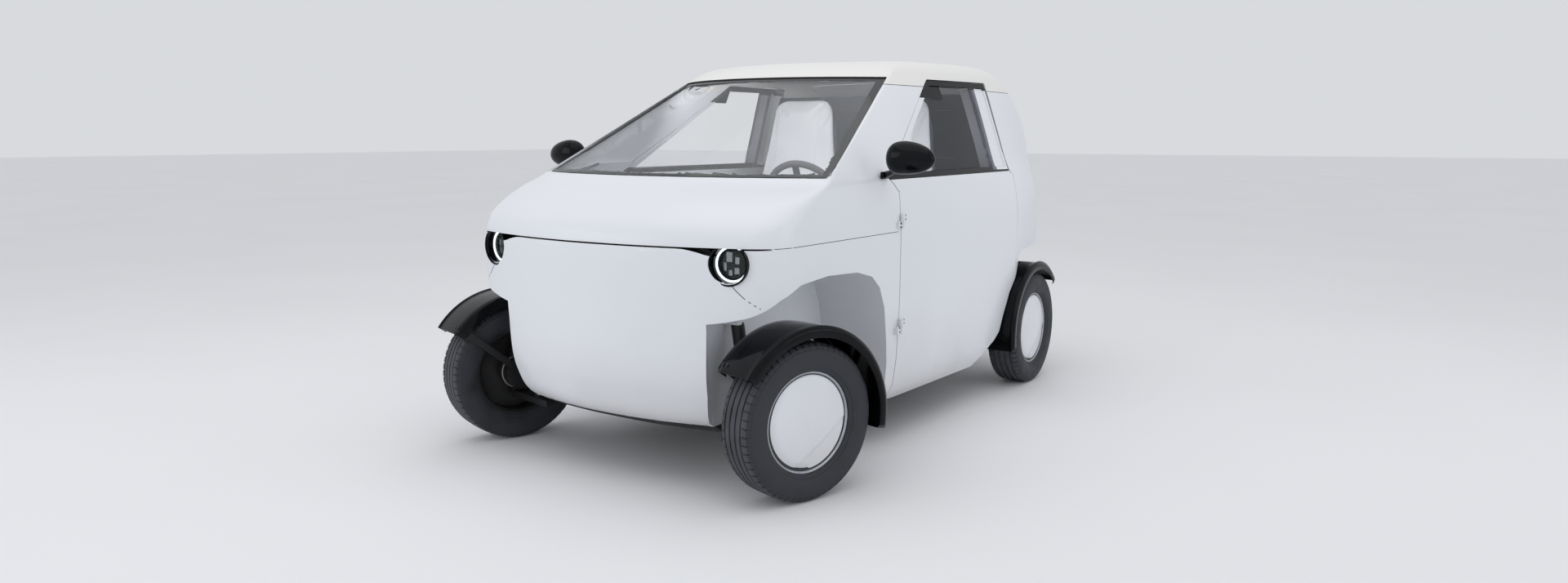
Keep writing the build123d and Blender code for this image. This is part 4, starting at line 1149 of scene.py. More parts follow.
def cover_height(rear, up):
    """How far out the cover stands at a place on it, in millimetres from the wheel's middle."""
    r = hypot(rear, up) / COVER_R
    height = COVER_RIM + DOME * (1 - r ** 2)
    fold = (rear * FOLD_WAY[0] + up * FOLD_WAY[1]) / COVER_R - FOLD_AT
    step = min(max(fold / FOLD_WIDTH, 0.0), 1.0)
    height -= FOLD_DEPTH * step * step * (3 - 2 * step)
    from_middle = hypot(rear - CRESCENT_MIDDLE[0], up - CRESCENT_MIDDLE[1]) / COVER_R
    height -= CRESCENT_DEPTH * max(0.0, from_middle - CRESCENT_FROM) ** 1.3 if rear < 0 else 0.0
    edge = max(0.0, r - ROLL_FROM) / (1 - ROLL_FROM)
    return height - ROLL_DEPTH * edge ** 2


def wheel_cover():
    """A disc of rings, its surface set by the height rule, closed behind by a lip."""
    bm = bmesh.new()
    rings, spokes = 26, 120
    loops = []
    for k in range(1, rings + 1):
        r = COVER_R * (k / rings) ** 0.85
        loops.append([(r * cos(2 * pi * i / spokes), r * sin(2 * pi * i / spokes)) for i in range(spokes)])
    rows = [[bm.verts.new((cover_height(y, z) * MM, y * MM, z * MM)) for y, z in loop] for loop in loops]
    for share in (1.0, 0.93):
        rows.append([bm.verts.new((COVER_BACK * MM, y * share * MM, z * share * MM)) for y, z in loops[-1]])
    centre = bm.verts.new((cover_height(0, 0) * MM, 0, 0))
    back = bm.verts.new((COVER_BACK * MM, 0, 0))
    for i in range(spokes):
        j = (i + 1) % spokes
        bm.faces.new((centre, rows[0][i], rows[0][j]))
        bm.faces.new((back, rows[-1][j], rows[-1][i]))
        for near, far in zip(rows, rows[1:]):
            bm.faces.new((near[i], far[i], far[j], near[j]))
    faces_outward(bm)
    mesh = stored(bm, "wheel_cover")
    shade_by_angle(mesh)
    return coloured(mesh, white_panel)


rim_mesh = lathe("rim", [(x * MM, r * MM) for x, r in RIM_OUTLINE], 120)
rim_mesh.materials.append(black_ecoat)
rim_mesh.materials.append(silver_lacquer)
for polygon in rim_mesh.polygons:
    if polygon.center.x > LACQUER_X and hypot(polygon.center.y, polygon.center.z) > LACQUER_R:
        polygon.material_index = 1
cover_mesh = wheel_cover()
for name, matrix in CORNER.items():
    whole = joined(f"wheel_{name}_dressed", [rim_mesh, cover_mesh])
    piece = finished_piece(whole.name, placed(whole, matrix), None, f"road_wheel_{name}", f"wheel_{name}")
print("cover faces:", len(cover_mesh.polygons))

# %% [markdown]
# ## Mudguards
#
# Each guard is one injection moulding that wraps the tyre at a constant gap. Its outer edge
# carries a raised rib and rolls down, which stiffens it and draws two bright lines along it.
# A section swept along the arc keeps those lines unbroken.

# %% Guards and their brackets
GUARD_R, GUARD_INNER, SKIRT_R, END_RADIUS, CORNER_DRAW = 306.0, -92.0, 264.0, 16, 12


def guard_section(outer):
    """The guard's closed section as (across, radius) in mm, from the inner edge out and back."""
    top = [(GUARD_INNER, SKIRT_R), (GUARD_INNER, 297), (GUARD_INNER + 1.5, 301.5), (GUARD_INNER + 6, 304.2),
           (GUARD_INNER + 30, 305.6), (0, 306), (outer - 40, 306), (outer - 24, 305.4), (outer - 19.5, 306.2),
           (outer - 16, 309.4), (outer - 12.5, 311), (outer - 9, 310.2), (outer - 6, 306.6),
           (outer - 4, 303.4), (outer - 1.6, 300.5), (outer, 295), (outer, 276), (outer - 1.2, 273.6)]
    under = [(outer - 3.4, 273.6), (outer - 4.6, 276), (outer - 6, 292), (outer - 12, 299),
             (outer - 40, 300.6), (0, 300.8), (GUARD_INNER + 30, 300.4), (GUARD_INNER + 6, 299),
             (GUARD_INNER + 3, 295), (GUARD_INNER + 2.6, SKIRT_R)]
    return top + under


def mudguard(name, outer, start, end, matrix):
    section = guard_section(outer)
    steps = 72
    rings = []
    for k in range(steps + 1):
        a = radians(start + (end - start) * k / steps)
        from_end = radians(end - start) * GUARD_R * min(k, steps - k) / steps
        narrow = max(0.0, 1 - from_end / END_RADIUS)
        inset = CORNER_DRAW * (1 - sqrt(max(0.0, 1 - narrow ** 2)))
        ring = []
        for x, r in section:
            across = max(GUARD_INNER + inset, min(outer - inset, x)) if inset else x
            ring.append((across * MM, r * cos(a) * MM, r * sin(a) * MM))
        rings.append(ring)
    return coloured(swept(name, rings, matrix, radians(40)), black_gloss)


def strut(name, matrix, angle_deg, across0, across1, inner_r, outer_r, width):
    """A flat steel bar with rounded edges, from near the hub out to the guard."""
    w, edge = width / 2, 2.0
    across = [(across0, -w + edge), (across0 + edge, -w), (across1 - edge, -w), (across1, -w + edge),
              (across1, w - edge), (across1 - edge, w), (across0 + edge, w), (across0, w - edge)]
    rings = []
    a = radians(angle_deg)
    along, side = Vector((0, cos(a), sin(a))), Vector((0, -sin(a), cos(a)))
    for r in (inner_r, inner_r + 3, outer_r - 3, outer_r):
        shrink = 0.86 if r in (inner_r, outer_r) else 1.0
        rings.append([(Vector((x, 0, 0)) + along * r + side * (s * shrink)) * MM for x, s in across])
    return coloured(swept(name, rings, matrix), black_ecoat)


def guard_set(corner_name, body, outer, start, end, bracket_angles, node=None):
    matrix = CORNER[corner_name]
    parts = [mudguard("guard", outer, start, end, matrix)]
    parts += [strut("strut", matrix, angle, -90, -82.3, 52, 299, 26) for angle in bracket_angles]
    whole = joined(f"mudguard_{corner_name}_moulding", parts)
    shade_by_angle(whole, radians(40))
    piece = finished_piece(whole.name, whole, None, body, *([node] if node else []))
    turn = matrix.to_3x3()
    marks = []
    for angle in bracket_angles:
        out = Vector((0, cos(radians(angle)), sin(radians(angle))))
        for across in (-70, -50):
            spot = Vector((across, 0, 0)) + out * (GUARD_R - 0.1)
            marks.append((matrix @ (spot * MM), turn @ out))
    screws(f"guard_screws_{corner_name}", marks, body, black_ecoat, 5.5, 3.0, 24, 1.4)


for word in ("left", "right"):
    guard_set(f"front_{word}", f"front_corner_{word}", 92.0, -12, 145, (20, 140), f"front_mudguard_{word}")
guard_set("rear_left", "chassis", 82.0, 41, 192, (50, 130), "rear_mudguards")
guard_set("rear_right", "chassis", 82.0, 41, 192, (50, 130))

# %% [markdown]
# ## Headlamps
#
# Each lamp sits at the bottom of a black cup. A frosted light guide makes a bright ring around
# the lens, and behind the clear lens stand dark stepped reflectors. The cup's front edge is cut
# off level under the bonnet's lip, so the lamp is built round and then trimmed by that plane.

# %% Lamp makers


def facing_frame(origin, forward):
    """A matrix whose X axis looks along forward, with Z as near to upright as can be."""
    forward = Vector(forward).normalized()
    side = UP.cross(forward).normalized()
    columns = Matrix((forward, side, forward.cross(side))).transposed()
    return Matrix.Translation(origin) @ columns.to_4x4()


def trimmed(mesh, point, normal):
    """Cuts away what lies beyond a plane and closes the cut."""
    bm = bmesh.new()
    bm.from_mesh(mesh)
    cut = bmesh.ops.bisect_plane(bm, geom=bm.verts[:] + bm.edges[:] + bm.faces[:], dist=1e-6, plane_co=point,
                                 plane_no=normal, clear_outer=True)
    edges = [item for item in cut["geom_cut"] if isinstance(item, bmesh.types.BMEdge)]
    bmesh.ops.holes_fill(bm, edges=edges, sides=0)
    faces_outward(bm)
    bm.to_mesh(mesh)
    bm.free()
    shade_by_angle(mesh)
    return mesh


def rounded_box(width, depth, height, edge, material):
    """A small moulded block with softened edges, centred on its own frame."""
    bm = bmesh.new()
    bmesh.ops.create_cube(bm, size=1.0)
    bmesh.ops.scale(bm, vec=(width, depth, height), verts=bm.verts[:])
    bmesh.ops.bevel(bm, geom=bm.edges[:], offset=edge, segments=2, affect="EDGES", profile=0.7)
    faces_outward(bm)
    mesh = stored(bm, "block")
    shade_by_angle(mesh)
    return coloured(mesh, material)


CUP = [(0, 60.5), (0, 63.5), (-1.2, 65.6), (-4, 66), (-69, 66), (-69.9, 64), (-69.9, 2), (-36, 2), (-34, 6),
       (-34, 54), (-31, 57.4), (-4, 59.4)]
LIGHT_RING = [(-33.6, 49.6), (-30.2, 50.2), (-28.4, 52), (-28.2, 54.2), (-29.6, 56.2), (-33.6, 57)]
LENS = [(-26.5, 1), (-26.8, 16), (-27.8, 30), (-29.6, 41), (-31.2, 47), (-32.4, 50.5), (-34.6, 50.5),
        (-34.4, 46), (-32.4, 40), (-30.6, 29), (-29.6, 16), (-29.4, 1)]
REFLECTORS = ((-9, 22, 20, 30, 26), (18, 12, 14, 22, 30), (-24, -8, 10, 26, 20), (16, -20, 16, 20, 22),
              (-6, -26, 12, 18, 16))     # across, up, width, height, depth, mm
REFLECTOR_BACK, CUP_SCREW_R, CUP_CUT_Z = -34.5, 62.6, 0.7978


def headlamp_parts(side, lamp_frame):
    """Everything in one lamp, as meshes in the car's frame."""
    parts = []
    for outline, material, steps in ((CUP, black_gloss, 96), (LIGHT_RING, lamp_ring, 96),
                                     (LENS, lens_plastic, 72)):
        parts.append(coloured(lathe("lamp", [(x * MM, r * MM) for x, r in outline], steps), material))
    for across, up, width, height, depth in REFLECTORS:
        block = rounded_box(depth * MM * 0.2, width * MM, height * MM, 1.5 * MM, chrome_plating)
        parts.append(placed(block, Matrix.Translation((REFLECTOR_BACK * MM, across * side * MM, up * MM))))
    for turn in (200, 262, 320):
        spot = Vector((-2.0, CUP_SCREW_R * cos(radians(turn)), CUP_SCREW_R * sin(radians(turn)))) * MM
        head = lathe("screw", [(-0.4 * MM, 0.1 * MM), (1.2 * MM, 0.1 * MM), (1.6 * MM, 1.0 * MM),
                               (1.2 * MM, 2.4 * MM), (-0.4 * MM, 2.6 * MM)], 16, Matrix.Translation(spot))
        parts.append(coloured(head, zinc_plate))
    whole = joined("headlamp", parts)
    placed(whole, lamp_frame)
    return trimmed(whole, (0, 0, CUP_CUT_Z), UP)


# %% Two headlamps
LAMP_Y, LAMP_Z, LAMP_TURN = -1.278, 0.751, radians(10)
lamps = []
for side in (1, -1):
    origin = Vector((side * LAMP_X, LAMP_Y, LAMP_Z))
    lamps.append(headlamp_parts(side, facing_frame(origin, (side * sin(LAMP_TURN), -cos(LAMP_TURN), 0))))
headlamp_mesh = joined("headlamps_detailed", lamps)
shade_by_angle(headlamp_mesh)
finished_piece("headlamps_detailed", headlamp_mesh, None, "chassis", "headlamps")
print("lamp faces:", len(headlamp_mesh.polygons))

# %% [markdown]
# ## Mirrors
#
# A mirror is an egg with a blunt end towards the door, cut off behind to hold the glass. Its
# short arm grows from a foot on the door corner. The egg is made of rings whose size follows one
# curve, so its reflection runs on without a break.

# %% Mirror makers
MIRROR_INNER, MIRROR_OUTER, MIRROR_Y, MIRROR_Z = 0.704, 0.8805, -0.617, 1.0668
MIRROR_HIGH, MIRROR_FRONT, MIRROR_BACK, MIRROR_RISE = 0.0558, 0.0465, 0.0235, 0.0045


def egg_share(u):
    """Size of the egg's ring from 0 at its ends to 1, blunt at the inner end."""
    blunt, narrow = 0.34, 0.66
    if u < blunt:
        return (1 - (1 - u / blunt) ** 2.6) ** (1 / 2.2)
    return (1 - ((u - blunt) / narrow) ** 2.15) ** (1 / 2.0)


def mirror_meshes(side):
    rings, around = 34, 56
    shell_rings, glass_rings = [], []
    for k in range(rings + 1):
        u = (1 - cos(pi * k / rings)) / 2
        size = max(egg_share(min(max(u, 0.0005), 0.9995)), 0.03)
        x = MIRROR_INNER + (MIRROR_OUTER - MIRROR_INNER) * u
        rise = MIRROR_RISE * (1 - 2 * abs(u - 0.4))
        ring = []
        for i in range(around):
            a = 2 * pi * i / around
            y = MIRROR_FRONT * size * cos(a)
            z = MIRROR_HIGH * size * sin(a) * (1 - 0.08 * cos(a))
            back = min(y, MIRROR_BACK)
            ring.append((side * x, MIRROR_Y + back, MIRROR_Z + z + rise - MIRROR_RISE))
        shell_rings.append(ring)
    shell = coloured(swept("mirror_shell", shell_rings, angle=radians(48)), black_gloss)
    outline = [(0.094 * cos(2 * pi * i / 48), 0.0445 * sin(2 * pi * i / 48)) for i in range(48)]
    middle_x = (MIRROR_INNER + MIRROR_OUTER) / 2 - 0.002
    for back, size in ((0.0, 0.86), (0.0016, 0.86), (0.0024, 0.83)):
        glass_rings.append([(side * (middle_x + y * size * 0.86), MIRROR_Y + MIRROR_BACK + back - 0.001,
                             MIRROR_Z - 0.002 + z * size) for y, z in outline])
    glass = coloured(swept("mirror_glass", glass_rings), chrome_plating)
    return [shell, glass]


def bent_tube(path, radii, material, sides=16):
    """A tube through points, with a radius at each."""
    points = [Vector(p) for p in path]
    rings = []
    for k, point in enumerate(points):
        ahead = points[min(k + 1, len(points) - 1)] - points[max(k - 1, 0)]
        across = ahead.normalized().cross(Vector((0.3, 0.2, 1))).normalized()
        other = ahead.normalized().cross(across)
        rings.append([point + (across * cos(2 * pi * i / sides) + other * sin(2 * pi * i / sides)) * radii[k]
                      for i in range(sides)])
    return coloured(swept("tube", rings), material)


# %% Two mirrors
for side, word in ((1, "left"), (-1, "right")):
    arm_path = [(side * x, y, z) for x, y, z in ((0.654, -0.546, 1.004), (0.668, -0.553, 1.006),
                                                 (0.690, -0.566, 1.012), (0.716, -0.586, 1.022),
                                                 (0.742, -0.602, 1.036))]
    arm = bent_tube(arm_path, (0.0115, 0.0125, 0.0105, 0.0095, 0.011), black_gloss)
    foot = placed(rounded_box(0.014, 0.05, 0.026, 0.006, black_gloss),
                  Matrix.Translation((side * 0.6582, -0.545, 1.003)))
    whole = joined(f"mirror_{word}_egg", mirror_meshes(side) + [arm, foot])
    shade_by_angle(whole, radians(48))
    body = nodes[f"mirror_{word}"]["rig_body"]
    finished_piece(whole.name, whole, None, body, f"mirror_{word}")

# %% [markdown]
# ## Seams and hinge screws
#
# Where two mouldings meet without a step there is only a fine dark line. Each seam is a narrow
# strip that follows the body's surface. The hinges are held by small screws.

# %% Seams on the surface


def level_line(inset, z):
    """Points and normals of a skin all along one height."""
    points = GRIDS[inset][0]
    row, t = level_at(points, z)
    columns = np.arange(points.shape[1] - 1)
    rows, shares, middles = (np.full(len(columns), value) for value in (row, t, 0.5))
    return on_skin(GRIDS[inset], rows, shares, columns, middles)[1:]


def skin_place(side, z, y=None, x=None):
    """A point and normal of the outer surface at a height, given its y on the side or x on the nose."""
    curved, normal = level_line(0.0, z)
    value, order = (curved[:, 1], y) if y is not None else (curved[:, 0], x)
    count = len(value) if y is not None else int(value.argmax()) + 1
    spot = [float(np.interp(order, value[:count], curved[:count, k])) for k in range(3)]
    way = Vector([float(np.interp(order, value[:count], normal[:count, k])) for k in range(3)]).normalized()
    return Vector((side * spot[0], spot[1], spot[2])), Vector((side * way.x, way.y, way.z))


def seam(places, width_mm=2.0):
    """A thin strip through (point, normal) places of the surface."""
    rings = []
    for k, (point, normal) in enumerate(places):
        ahead = places[min(k + 1, len(places) - 1)][0] - places[max(k - 1, 0)][0]
        across = normal.cross(ahead).normalized() * width_mm * MM / 2
        lift = normal * 0.25 * MM
        rings.append([point - across + lift, point + across + lift, point + across - normal * 1.5 * MM,
                      point - across - normal * 1.5 * MM])
    return coloured(swept("seam", rings), seal_rubber)


def spread(first, last, count):
    return [first + (last - first) * k / (count - 1) for k in range(count)]


seams = []
for side in (1, -1):
    seams.append(seam([skin_place(side, 0.7985, y=y) for y in spread(-1.200, -0.462, 40)], 1.8))
    lamp_to_arch = [(0.520, 0.682), (0.528, 0.672), (0.540, 0.660), (0.556, 0.646), (0.572, 0.634),
                    (0.586, 0.624), (0.600, 0.615)]
    seams.append(seam([skin_place(side, z, x=x) for x, z in lamp_to_arch], 2.4))
seam_mesh = joined("panel_seams", seams)
finished_piece("panel_seams", seam_mesh, None, "chassis")

# %% Hinge screws
for side, word in ((1, "left"), (-1, "right")):
    fixed, moving = [], []
    for z in (0.430, 0.810):
        for up in (0.006, 0.020):
            fixed.append(((side * 0.6812, -0.462, z + up), (side, 0, 0)))
            moving.append(((side * 0.6812, -0.428, z + 0.027 + up), (side, 0, 0)))
    screws(f"hinge_screws_fixed_{word}", fixed, "chassis", black_ecoat, 3.4, 1.6, 16, 1.35)
    screws(f"hinge_screws_door_{word}", moving, f"door_{word}", black_ecoat, 3.4, 1.6, 16, 1.35)

# %% [markdown]
# ## The cabin
#
# The cabin is plain, as in any light two-seater: two shell seats, a round wheel, a moulded shelf
# for a dashboard and bare door skins with a pull. A seat is a polypropylene shell with two foam
# pads, each covered in white coated fabric that is pulled tight and glued to the shell behind.

# %% Cabin finishes


def coated_fabric(name, colour, worn):
    """PVC coated fabric: a fine leather grain, a low sheen, and slightly greyer where it is sat on."""
    material, tree, shader, place = start_finish(name, colour, 0.52, Sheen_Weight=0.12, Sheen_Roughness=0.6)
    grain = speckle(tree, place, 2.2, 4.0)
    use = speckle(tree, place, 210, 3.0)
    tree.links.new(blend_colours(tree, use, colour, worn), shader.inputs["Base Color"])
    tree.links.new(between(tree, grain, 0.46, 0.60), shader.inputs["Roughness"])
    emboss(tree, shader, grain, 0.12, 0.6)
    return material


def moulded_plastic(name, colour, dull):
    """Grained polypropylene, moulded in its own colour."""
    material, tree, shader, place = start_finish(name, colour, 0.62, Specular_IOR_Level=0.4)
    grain = speckle(tree, place, 1.3, 3.0)
    scuff = speckle(tree, place, 160, 4.0)
    tree.links.new(blend_colours(tree, scuff, colour, dull), shader.inputs["Base Color"])
    tree.links.new(between(tree, grain, 0.55, 0.70), shader.inputs["Roughness"])
    emboss(tree, shader, grain, 0.08, 0.5)
    return material


seat_fabric = coated_fabric("white_coated_seat_fabric", "#eceef2", "#e2e5ea")
# The shell's dark grey is partly its own colour and partly painted shade on the seat's sides and back.
seat_shell_grey_and_side_shade = moulded_plastic("grey_shell_and_painted_side_shade", "#5c616b", "#646973")
cabin_lining = moulded_plastic("grey_polypropylene_lining", "#666b78", "#6d727e")
cabin_black = moulded_plastic("black_polypropylene_trim", "#2a3038", "#30363e")
bulkhead_felt = moulded_plastic("pressed_felt_bulkhead_lining", "#464a53", "#4b4f58")
felt = bulkhead_felt.node_tree
position = add_node(felt, "ShaderNodeSeparateXYZ",
                    {"Vector": add_node(felt, "ShaderNodeTexCoord").outputs["Object"]})
from_middle = add_node(felt, "ShaderNodeMath", {0: position.outputs["X"]}, operation="ABSOLUTE")
outer = add_node(felt, "ShaderNodeMapRange",
                 {"Value": from_middle.outputs[0], "From Min": 0.24, "From Max": 0.30})
grey = felt.nodes["Principled BSDF"].inputs["Base Color"].links[0].from_socket
felt.links.new(blend_colours(felt, outer.outputs["Result"], grey, "#15181d"),
               felt.nodes["Principled BSDF"].inputs["Base Color"])
grip_rubber = moulded_plastic("grey_foamed_grip", "#6c6c70", "#747478")

# %% [markdown]
# ### Foam pads
#
# A pad starts as a closed, crowned shape drawn from its outline. It is remeshed into even faces,
# and a short cloth run then blows it up a little, with its back held to the shell and no
# gravity. How far a point may move is capped, so that the pad keeps its outline. One
# subdivision smooths the result, and a collapse brings the face count back down.

# %% Pad makers
ACROSS_BACK, ACROSS_SHOULDER, ACROSS_TOP = 0.212, 0.172, 0.146
PAD_CAP, VOXEL, HELD_DEPTH, KEPT_SHARE = 0.012, 0.006, 0.016, 0.16
SEAT_X, WELT_Y, WELT_RADIUS = 0.24, 0.105, 0.0021


def rounded_outline(corners, radius, steps=8):
    """A closed outline through corners, each rounded by the radius given for it."""
    points = []
    for k, corner in enumerate(corners):
        before, after = Vector(corners[k - 1]), Vector(corners[(k + 1) % len(corners)])
        corner = Vector(corner)
        one, two = (before - corner).normalized(), (after - corner).normalized()
        for i in range(steps + 1):
            t = i / steps
            points.append(corner + one * radius[k] * (1 - t) ** 2 + two * radius[k] * t ** 2)
    return points


def crowned_pad(name, outline, thick, crown, matrix):
    """A closed pad over an outline, flat behind and crowned in front, with a full edge."""
    centre = sum(outline, Vector((0, 0))) / len(outline)
    profile = [(0.60, 0.0), (0.94, 0.0), (0.985, 0.10), (1.0, 0.34), (1.0, 0.66), (0.985, 0.88),
               (0.95, 0.98), (0.86, 1.0), (0.66, 1.0), (0.40, 1.0), (0.15, 1.0)]
    bm = bmesh.new()
    rings = []
    for share, height in profile:
        rise = thick * height + (crown * (1 - share ** 2) if height >= 0.98 else 0.0)
        rings.append([bm.verts.new((rise, *(centre + (p - centre) * share))) for p in outline])
    back, front_point = bm.verts.new((0, *centre)), bm.verts.new((thick + crown, *centre))
    for i in range(len(outline)):
        j = (i + 1) % len(outline)
        bm.faces.new((back, rings[0][i], rings[0][j]))
        bm.faces.new((front_point, rings[-1][j], rings[-1][i]))
        for near, far in zip(rings, rings[1:]):
            bm.faces.new((near[i], far[i], far[j], near[j]))
    faces_outward(bm)
    mesh = stored(bm, name)
    return placed(mesh, matrix)


def through_modifier(mesh, kind, **settings):
    """A mesh after one modifier, as a plain mesh."""
    holder = linked("holder", mesh)
    modifier = holder.modifiers.new("step", kind)
    for option, value in settings.items():
        setattr(modifier, option, value)
    return taken_from(holder)


def blown_up(mesh, back_point, outward):
    """Runs the cloth for twenty frames, and takes the movement up to the cap."""
    holder = linked("pad", mesh)
    held = holder.vertex_groups.new(name="held")
    near_back = [v.index for v in mesh.vertices if (v.co - back_point).dot(outward) < HELD_DEPTH]
    held.add(near_back, 1.0, "REPLACE")
    cloth = holder.modifiers.new("cloth", "CLOTH")
    cloth.settings.quality = 5
    cloth.settings.mass = 0.3
    cloth.settings.tension_stiffness = cloth.settings.compression_stiffness = 60
    cloth.settings.shear_stiffness = 5
    cloth.settings.bending_stiffness = 6
    cloth.settings.use_pressure = True
    cloth.settings.uniform_pressure_force = 4
    cloth.settings.vertex_group_mass = "held"
    cloth.settings.effector_weights.gravity = 0
    cloth.collision_settings.use_collision = False
    cloth.point_cache.frame_start, cloth.point_cache.frame_end = 1, 20
    for frame_number in range(1, 21):
        bpy.context.scene.frame_set(frame_number)
    moved = evaluated(holder).data
    ways = [after.co - before.co for before, after in zip(mesh.vertices, moved.vertices)]
    for vertex, way in zip(mesh.vertices, ways):
        vertex.co += way * min(1.0, PAD_CAP / max(way.length, 1e-9))
    print(mesh.name, "moved", round(1000 * max(way.length for way in ways), 1), "mm before the cap")
    bpy.context.scene.frame_set(1)
    bpy.data.objects.remove(holder)
    return mesh


def foam_pad(name, outline, thick, crown, matrix):
    """A finished pad as a plain mesh."""
    mesh = crowned_pad(name, outline, thick, crown, matrix)
    mesh = through_modifier(mesh, "REMESH", mode="VOXEL", voxel_size=VOXEL, use_smooth_shade=True)
    mesh.name = name
    mesh = blown_up(mesh, matrix @ Vector((0, 0, 0)), matrix.to_3x3() @ Vector((1, 0, 0)))
    mesh = through_modifier(mesh, "SUBSURF", levels=1)
    mesh = through_modifier(mesh, "DECIMATE", ratio=KEPT_SHARE)
    for polygon in mesh.polygons:
        polygon.use_smooth = True
    return mesh


# %% [markdown]
# The welt seams come after the pads. Each is a thin cord of the same fabric that runs over the
# pad's own surface, found by looking straight at the pad from in front.

# %% Two seats
BACK_FOOT, BACK_HEAD = Vector((0, 0.2385, 0.405)), Vector((0, 0.3780, 1.290))
CUSHION_BACK, CUSHION_FRONT = Vector((0, 0.196, 0.330)), Vector((0, -0.288, 0.352))


def seat_frame(side, foot, head, toward):
    """X leads out of the pad, Y is across the car and Z goes along the pad."""
    along = (head - foot).normalized()
    outward = (toward - along * toward.dot(along)).normalized()
    columns = Matrix((outward, along.cross(outward), along)).transposed()
    return Matrix.Translation(foot + Vector((side * SEAT_X, 0, 0))) @ columns.to_4x4()


def surface_tree(mesh):
    return BVHTree.FromPolygons([v.co for v in mesh.vertices], [tuple(p.vertices) for p in mesh.polygons])


def welt(mesh, matrix, y, z0, z1, out, count=48):
    """A cord over the pad's face along one line of its own frame."""
    tree = surface_tree(mesh)
    look = matrix.to_3x3() @ Vector((-1, 0, 0))
    rings = []
    for z in spread(z0, z1, count):
        spot = tree.ray_cast(matrix @ Vector((out, y, z)), look)[0]
        if spot is None:
            continue
        sideways = matrix.to_3x3() @ Vector((0, 1, 0))
        rings.append([spot + (sideways * cos(pi * i / 4) - look * sin(pi * i / 4)) * WELT_RADIUS
                      for i in range(8)])
    return coloured(swept("welt", rings), seat_fabric)


for side, word in ((1, "left"), (-1, "right")):
    back_matrix = seat_frame(side, BACK_FOOT, BACK_HEAD, Vector((0, -1, 0)))
    seat_matrix = seat_frame(side, CUSHION_BACK, CUSHION_FRONT, Vector((0, 0, 1)))
    tall, deep = (BACK_HEAD - BACK_FOOT).length, (CUSHION_FRONT - CUSHION_BACK).length
    back_outline = rounded_outline(
        [(-ACROSS_BACK, 0.055), (ACROSS_BACK, 0.055), (ACROSS_BACK, 0.50), (ACROSS_SHOULDER, 0.70),
         (ACROSS_TOP, tall + 0.006), (-ACROSS_TOP, tall + 0.006), (-ACROSS_SHOULDER, 0.70),
         (-ACROSS_BACK, 0.50)], [0.03, 0.03, 0.10, 0.08, 0.062, 0.062, 0.08, 0.10])
    seat_outline = rounded_outline([(-0.212, 0.002), (0.212, 0.002), (0.208, deep - 0.004),
                                    (-0.208, deep - 0.004)], [0.04, 0.04, 0.07, 0.07])
    for part, outline, matrix, thick, crown in (("back", back_outline, back_matrix, 0.036, 0.010),
                                                ("cushion", seat_outline, seat_matrix, 0.062, 0.012)):
        pad = foam_pad(f"seat_{part}_pad_{word}", outline, thick, crown, matrix)
        reach = tall if part == "back" else deep
        piece = finished_piece(f"seat_{part}_pad_{word}", pad, seat_fabric, "chassis")
        start = 0.075 if part == "back" else 0.02
        cords = [welt(pad, matrix, y, start, reach - 0.03, 0.2) for y in (-WELT_Y, WELT_Y)]
        finished_piece(f"seat_{part}_welts_{word}", joined("welts", cords), None, "chassis")
    shell_rings = []
    for y, z, half, depth in ((-0.292, 0.352, 0.200, 0.040), (-0.10, 0.338, 0.214, 0.052),
                              (0.12, 0.322, 0.216, 0.046), (0.215, 0.335, 0.216, 0.040),
                              (0.262, 0.42, 0.217, 0.034), (0.296, 0.62, 0.217, 0.030),
                              (0.340, 0.90, 0.213, 0.026), (0.362, 1.04, 0.178, 0.024),
                              (0.386, 1.18, 0.158, 0.020), (0.400, 1.276, 0.120, 0.016)):
        lean = Vector((0, -0.10, -1.0)) if y < 0.2 else Vector((0, 0.96, -0.20 if z > 0.5 else -0.6))
        lean = lean.normalized() * depth
        middle = Vector((side * SEAT_X, y, z)) - lean * 0.55
        edge = half - 0.012
        section = ((-half, 0), (half, 0), (half, 0.45), (edge, 1), (-edge, 1), (-half, 0.45))
        shell_rings.append([middle + Vector((across, 0, 0)) + lean * share for across, share in section])
    # The shell's grey carries painted shade on the seat's sides and back.
    shell = coloured(swept(f"seat_shell_{word}", shell_rings), seat_shell_grey_and_side_shade)
    piece = finished_piece(shell.name, shell, None, "chassis", f"seat_{word}")

# %% Screen behind the seats
screen_rings = []
for x, low, high in ((-0.4395, 1.0405, 1.0415), (-0.3995, 1.0405, 1.2495), (0.3995, 1.0405, 1.2495),
                     (0.4395, 1.0405, 1.0415)):
    screen_rings.append([Vector((x, 0.570, low)), Vector((x, 0.576, low)), Vector((x, 0.576, high)),
                         Vector((x, 0.570, high))])
screen = coloured(swept("bulkhead_screen", screen_rings), bulkhead_felt)
finished_piece("bulkhead_screen", screen, None, "chassis")

# %% [markdown]
# ### Steering wheel, dashboard and doors
#
# The wheel is a steel ring in grey foam with a soft hub cover and three spokes.

# %% Wheel, dashboard, door pulls
WHEEL_CENTRE, RAKE = Vector((0.255, -0.420, 0.885)), pi * 24 / 180
wheel_matrix = facing_frame(WHEEL_CENTRE, (0, cos(RAKE), sin(RAKE)))
rim = lathe("steering_rim", [(0.0128 * sin(2 * pi * i / 20), 0.165 + 0.0128 * cos(2 * pi * i / 20))
                             for i in range(20)], 96)
wheel_parts = [coloured(rim, grip_rubber)]
for turn in (0, pi / 2, -pi / 2):
    spoke = rounded_box(0.010, 0.128, 0.026, 0.004, cabin_black)
    spoke.transform(Matrix.Translation((-0.012, 0.096, 0)))
    wheel_parts.append(placed(spoke, Matrix.Rotation(turn + pi, 4, "X")))
hub = [(-0.086, 0.002), (-0.086, 0.029), (-0.030, 0.029), (-0.024, 0.046), (-0.010, 0.050), (0.002, 0.046),
       (0.006, 0.030), (0.007, 0.002)]
wheel_parts.append(coloured(lathe("steering_hub", hub, 48), cabin_black))
for mesh in wheel_parts:
    placed(mesh, wheel_matrix)
